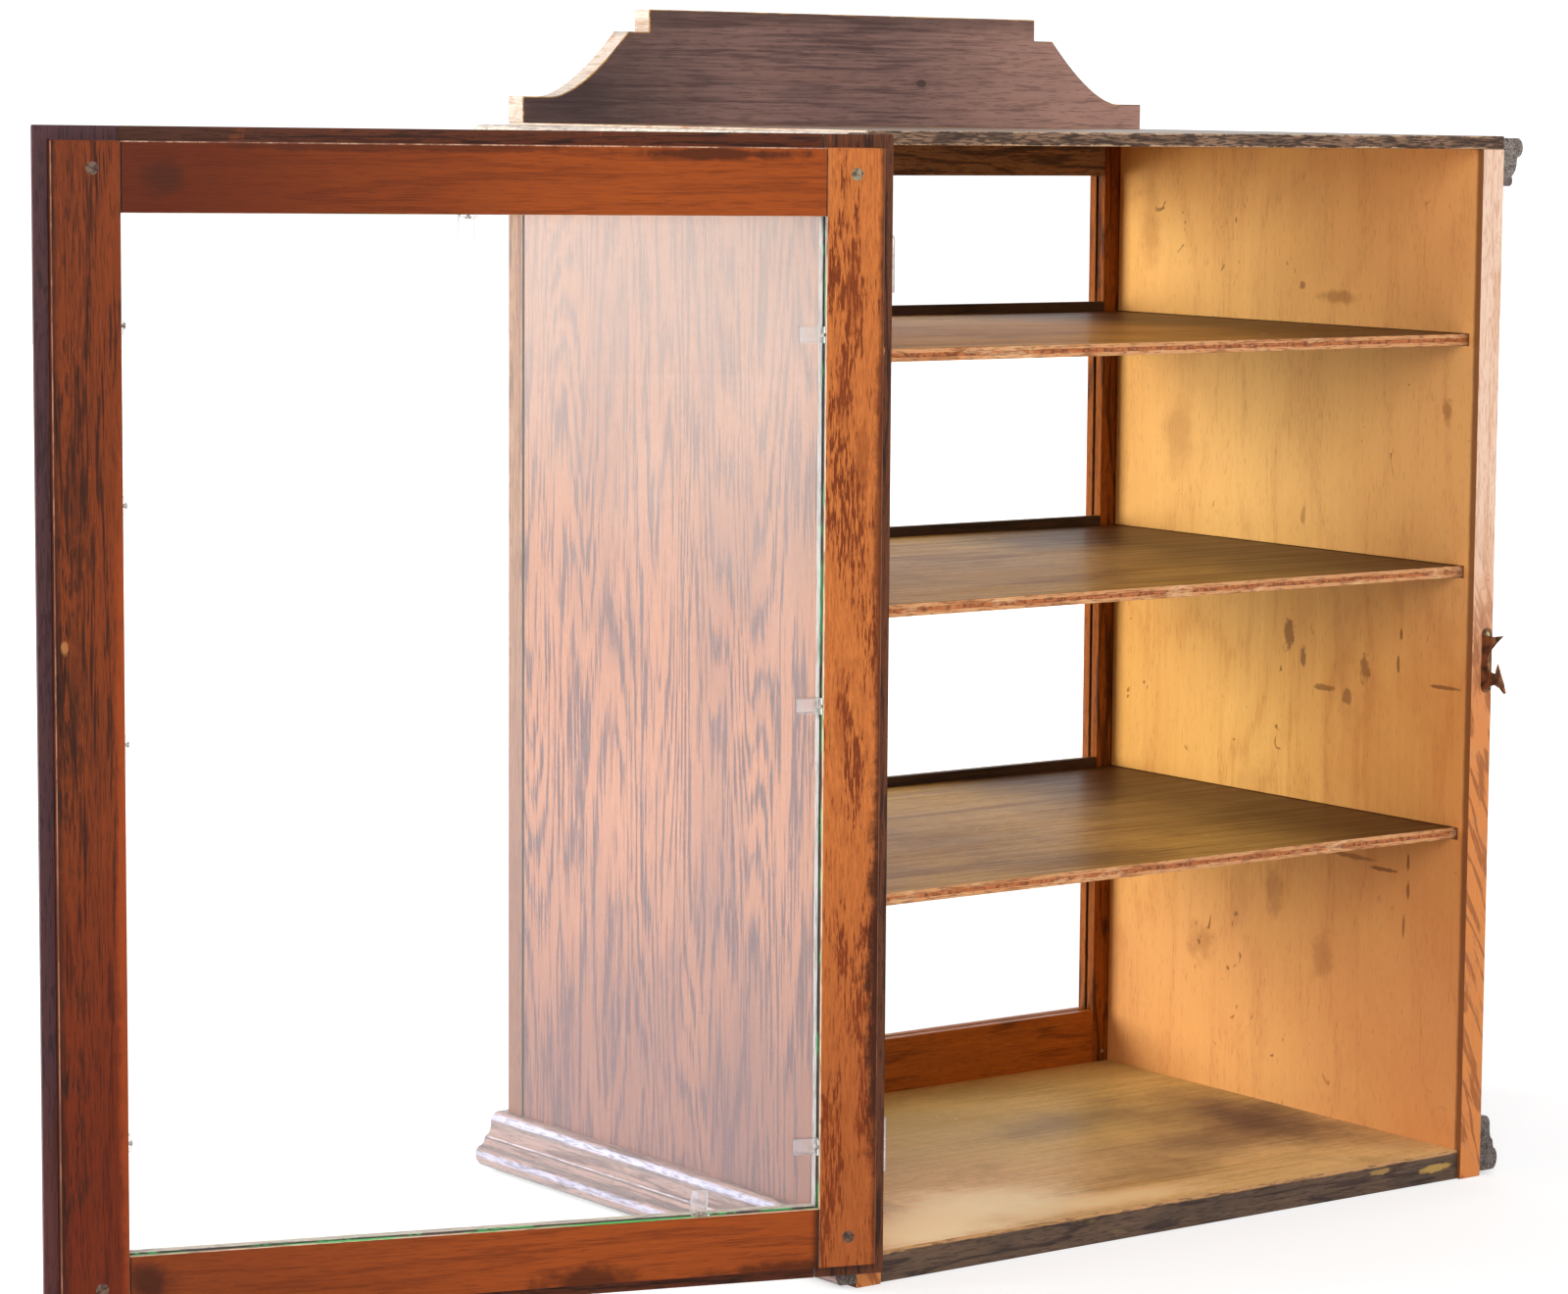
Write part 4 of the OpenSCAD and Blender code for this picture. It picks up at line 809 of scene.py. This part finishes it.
# bright colour, dull colour, share of metal, roughness of each, size of the worn patches
metalLooks = {"nickel": ((0.8, 0.76, 0.74, 1), (0.55, 0.48, 0.46, 1), 1.0, (0.24, 0.45)),
              "agedScrew": ((0.15, 0.075, 0.045, 1), (0.05, 0.028, 0.02, 1), 0.3, (0.4, 0.6), 260.0),
              "stainedScrew": ((0.4, 0.33, 0.22, 1), (0.1, 0.065, 0.04, 1), 0.9, (0.35, 0.55), 260.0),
              "steelScrew": ((0.62, 0.58, 0.54, 1), (0.24, 0.19, 0.16, 1), 1.0, (0.3, 0.5), 260.0),
              "nailHead": ((0.85, 0.83, 0.8, 1), (0.5, 0.46, 0.42, 1), 1.0, (0.25, 0.4)),
              "darkBronze": ((0.3, 0.13, 0.06, 1), (0.07, 0.035, 0.022, 1), 0.7, (0.3, 0.5), 120.0),
              "wornBrass": ((0.72, 0.55, 0.32, 1), (0.25, 0.15, 0.08, 1), 1.0, (0.28, 0.5))}

looks = {name: makeWood(name, **look) for name, look in woodLooks.items()}
looks.update({name: makeGlass(name, *look) for name, look in glassLooks.items()})
looks.update({name: makeMetal(name, *look) for name, look in metalLooks.items()})
print("materials made", len(looks))

easing = {"merge": 0.01 * mm, "flatAngle": 0.4, "sharpAngle": 50, "smoothAngle": 35, "segments": 2,
          "shortestWood": 2.5 * mm, "shortestHard": 1.0 * mm}


# a copy of a node with its doubles merged and its long edges eased, which then stands for the node
def easeEdges(nodeName, width, material, shortest):
    makeActive(nodes[nodeName])
    bodyName = body_of(nodes[nodeName])
    bpy.ops.object.duplicate()
    piece = bpy.context.object
    piece.name = nodeName + "_eased"
    piece.parent = None
    piece.matrix_world = Matrix.Identity(4)
    piece.data.materials.clear()
    piece.data.materials.append(looks[material])
    makeActive(piece)
    bpy.ops.object.mode_set(mode="EDIT")
    bpy.ops.mesh.select_all(action="SELECT")
    bpy.ops.mesh.remove_doubles(threshold=easing["merge"])
    bpy.ops.mesh.dissolve_limited(angle_limit=math.radians(easing["flatAngle"]))
    bpy.ops.mesh.select_mode(type="EDGE")
    bpy.ops.mesh.select_all(action="DESELECT")
    bpy.ops.mesh.edges_select_sharp(sharpness=math.radians(easing["sharpAngle"]))
    bpy.ops.object.mode_set(mode="OBJECT")
    if width:
        weights = piece.data.attributes.new("bevel_weight_edge", "FLOAT", "EDGE")
        for edge in piece.data.edges:
            start, end = [piece.data.vertices[number].co for number in edge.vertices]
            if edge.select and (end - start).length > shortest:
                weights.data[edge.index].value = 1.0
        ease = piece.modifiers.new("ease", "BEVEL")
        ease.width = width
        ease.segments = easing["segments"]
        ease.limit_method = "WEIGHT"
        ease.use_clamp_overlap = False
        bpy.ops.object.modifier_apply(modifier=ease.name)
        low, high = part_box(nodeName)
        for vertex in piece.data.vertices:
            vertex.co = [min(max(vertex.co[i], low[i]), high[i]) for i in range(3)]
    bpy.ops.object.shade_smooth_by_angle(angle=math.radians(easing["smoothAngle"]))
    level = piece.modifiers.new("level", "WEIGHTED_NORMAL")
    level.keep_sharp = True
    bpy.ops.object.modifier_apply(modifier=level.name)
    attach(piece, bodyName if isinstance(bodyName, str) else bodyName[0])
    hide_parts(nodeName)
    return piece


# faces picked by their centre and the way they look, with the door closed, get another material
def paintFaces(nodeName, material, picks):
    piece = pieces[nodeName]
    piece.data.materials.append(looks[material])
    number = len(piece.data.materials) - 1
    for face in piece.data.polygons:
        at, way = face.center.copy(), face.normal.copy()
        if nodeName.startswith("door_"):
            at, way = toClosed(at), closing @ way
        if picks(at, way):
            face.material_index = number


placeCamera(photoView)

# width of the eased edges in mm, and the look, of the wooden pieces and then of the others
woodPieces = {
    "side_panel_left side_panel_right": (0.8, "outerOak"), "top_board": (0.9, "topWood"),
    "bottom_board": (0.7, "floorPly"), "shelf_upper shelf_middle shelf_lower": (0.5, "shelfPly"),
    "ledge_upper ledge_middle ledge_lower": (0.5, "ledgeDark"),
    "window_stile_left window_stile_right": (0.7, "frameOak"), "window_top_rail": (0.7, "railDark"),
    "window_bottom_rail": (0.7, "railOak"), "crest_board": (0.9, "crestWood"),
    "crown_left crown_right": (0.3, "mouldingOak"), "crown_window": (0.3, "mouldingAcross"),
    "base_left base_right": (0.3, "mouldingOak"), "base_window": (0.3, "mouldingAcross"),
    "door_hinge_stile": (0.8, "hingeStile"), "door_latch_stile": (0.8, "latchStile"),
    "door_top_rail": (0.8, "topRail"), "door_bottom_rail": (0.8, "bottomRail")}
hardPieces = {
    "keeper": (0.25, "darkBronze"), "keeper_screws": (0, "wornBrass"),
    "upper_hinge_case_leaf lower_hinge_case_leaf": (0.2, "nickel"),
    "upper_hinge_door_leaf lower_hinge_door_leaf": (0.2, "nickel"),
    "upper_hinge_pin lower_hinge_pin": (0.15, "nickel"),
    "case_hinge_screws door_hinge_screws": (0, "steelScrew"), "door_corner_screws": (0, "agedScrew"),
    "clip_screws": (0, "steelScrew"), "case_nails window_nails": (0, "nailHead"),
    "crest_dowels": (0, "rawOak"), "glass_clips": (0.25, "clipPlastic"), "latch_plate": (0.2, "wornBrass"),
    "latch_screws": (0, "wornBrass"), "latch_spindle": (0.2, "wornBrass"),
    "latch_tongue": (0.3, "wornBrass"), "latch_knob": (0.2, "wornBrass"), "door_glass": (0, "paneGlass"),
    "window_glass": (0, "showGlass")}
pieces = {}
for table, shortest in ((woodPieces, easing["shortestWood"]), (hardPieces, easing["shortestHard"])):
    for nodeNames, (width, material) in table.items():
        for nodeName in nodeNames.split():
            pieces[nodeName] = easeEdges(nodeName, width * mm, material, shortest)
    print("pieces eased", len(pieces))

# how far a face's normal leans to an axis: at an eased corner, on a face that looks that way, on one square
# to it, and on one that lies flat
leaning, facing, square, flat = 0.3, 0.5, 0.9, 0.95
near = {"seam": 1.1 * mm, "rim": 1.2 * mm, "edge": 0.3 * mm, "lip": 0.2 * mm, "behind": 1 * mm,
        "groove": -6 * mm}

for side, inward in (("left", 1), ("right", -1)):
    panel, stile = "side_panel_" + side, "window_stile_" + side
    paintFaces(panel, "innerPly", lambda at, way: way.x * inward > facing)
    paintFaces(panel, "panelEdge", lambda at, way: way.y < -facing)
    paintFaces(stile, "stileEdge", lambda at, way: way.x * inward < -facing)
    # the eased faces at that seam get painted shade
    for part in (panel, stile):
        paintFaces(part, "seamShade", lambda at, way: abs(at.y - panelBack) < near["seam"]
                   and abs(way.x) > leaning and abs(way.y) > leaning)
    for run, endLook in (("crown_", "crownEnd"), ("base_", "endGrain")):
        paintFaces(run + side, endLook, lambda at, way: way.y < -square)
for shelf in ("upper", "middle", "lower"):
    paintFaces("shelf_" + shelf, "plyEdge_" + shelf, lambda at, way: way.y < -facing)
paintFaces("top_board", "topEdge", lambda at, way: max(abs(way.x), abs(way.y)) > facing)
# painted highlight on the top board's left side face
paintFaces("top_board", "topSideHighlight", lambda at, way: way.x < -facing)
paintFaces("top_board", "innerPly", lambda at, way: way.z < -facing)
paintFaces("bottom_board", "boardEdge", lambda at, way: way.y < -leaning)
paintFaces("crest_board", "crestEdge", lambda at, way: abs(way.y) < leaning)
paintFaces("crest_board", "crestRim", lambda at, way: leaning < abs(way.y) < flat)

# the door's lip and outer face, and the strips of its opening: beyond the groove, beside the inner face, and
# in the groove
doorSides = {
    "door_hinge_stile": (0, 1, opening["left"]), "door_latch_stile": (0, -1, opening["right"]),
    "door_top_rail": (2, -1, opening["high"]), "door_bottom_rail": (2, 1, opening["low"])}
uprightLooks = ("doorLip", "doorOuter", "revealFar", "revealNear", "revealGroove")
acrossLooks = ("lipAcross", "outerAcross", "farAcross", "nearAcross", "grooveAcross")
for part, (axis, sign, edge) in doorSides.items():
    lipLook, outerLook, farLook, nearLook, grooveLook = acrossLooks if part.endswith("rail") else uprightLooks
    paintFaces(part, lipLook, lambda at, way: at.y < lipLevel + near["lip"] and way.y > -leaning)
    paintFaces(part, outerLook, lambda at, way: way.y < -leaning and at.y < lipLevel - near["behind"])
    paintFaces(part, farLook, lambda at, way: (at[axis] - edge) * sign > -near["edge"]
               and way[axis] * sign > facing and at.y < wallLevel - near["behind"])
    paintFaces(part, nearLook, lambda at, way: (at[axis] - edge) * sign > -near["edge"]
               and way[axis] * sign > facing and at.y > wallLevel - near["lip"])
    paintFaces(part, grooveLook, lambda at, way: (at[axis] - edge) * sign > near["groove"]
               and lipLevel - near["lip"] < at.y < wallLevel + near["lip"]
               and ((at[axis] - edge) * sign < -near["edge"] or abs(way.y) > leaning))

# rims of the door's raised part
for part, material, axis, sign, edge in (
        ("door_top_rail", "creamEdge", 2, 1, raisedTop), ("door_latch_stile", "latchRim", 0, 1, raisedRight),
        ("door_hinge_stile", "hingeRim", 0, -1, raisedLeft)):
    paintFaces(part, material, lambda at, way: (at[axis] - edge) * sign > -near["rim"] and at.y > wallLevel
               and way.y > leaning and way[axis] * sign > leaning)
paintFaces("door_corner_screws", "stainedScrew", lambda at, way: at.x < 0 and at.z > 0.4)
print("faces painted")


def whiteLight(source, strength):
    source.inputs["Color"].default_value = (1, 1, 1, 1)
    source.inputs["Strength"].default_value = strength
    return source.outputs[0]


def seenByCamera(tree, rays):
    return maths(tree, "MAXIMUM", rays.outputs["Is Camera Ray"], rays.outputs["Is Transmission Ray"])


# pale floor, which keeps the shadow and turns white farther off
deselectAll()
bpy.ops.mesh.primitive_plane_add(size=studio["floorSize"], location=(0, 0, 0))
ground = bpy.context.object
ground.name = "studioFloor"
groundMaterial, tree, shader = newMaterial("studioFloor", roughness=0.9)
shader.inputs["Base Color"].default_value = (*studio["floorColour"], 1)
away = vectorMaths(tree, "LENGTH", patternSpace(tree), (0, 0, 0))
glowing = remap(tree, away, *studio["glowReach"], studio["nearGlow"], 1.0)
seen = seenByCamera(tree, addNode(tree, "ShaderNodeLightPath"))
glow = whiteLight(addNode(tree, "ShaderNodeEmission"), studio["floorWhite"])
tree.links.new(mixShaders(tree, times(tree, seen, glowing), shader.outputs[0], glow),
               tree.nodes["Material Output"].inputs["Surface"])
ground.data.materials.append(groundMaterial)

# studio light
for lampName, lampLook in lamps.items():
    bpy.ops.object.light_add(type="AREA", location=lampLook["place"])
    lamp = bpy.context.object
    lamp.name = lampName
    lamp.data.size = lampLook["size"]
    lamp.data.energy = lampLook["power"]
    toward = Vector(lampLook["place"]) - Vector(lampLook["aim"])
    lamp.rotation_euler = toward.to_track_quat("Z", "Y").to_euler()
    lamp.visible_camera = False
    lamp.visible_transmission = False
    lamp.visible_glossy = lampName != "windowLamp"

world = bpy.data.worlds.new("studioWorld")
bpy.context.scene.world = world
world.use_nodes = True
tree = world.node_tree
plain = whiteLight(tree.nodes["Background"], studio["worldLight"])
glossy, white = [whiteLight(addNode(tree, "ShaderNodeBackground"), studio[level])
                 for level in ("glossyLight", "whiteLevel")]
rays = addNode(tree, "ShaderNodeLightPath")
around = mixShaders(tree, rays.outputs["Is Glossy Ray"], plain, glossy)
tree.links.new(mixShaders(tree, seenByCamera(tree, rays), around, white),
               tree.nodes["World Output"].inputs["Surface"])
bpy.context.scene.view_settings.view_transform = "Standard"
print("studio set")
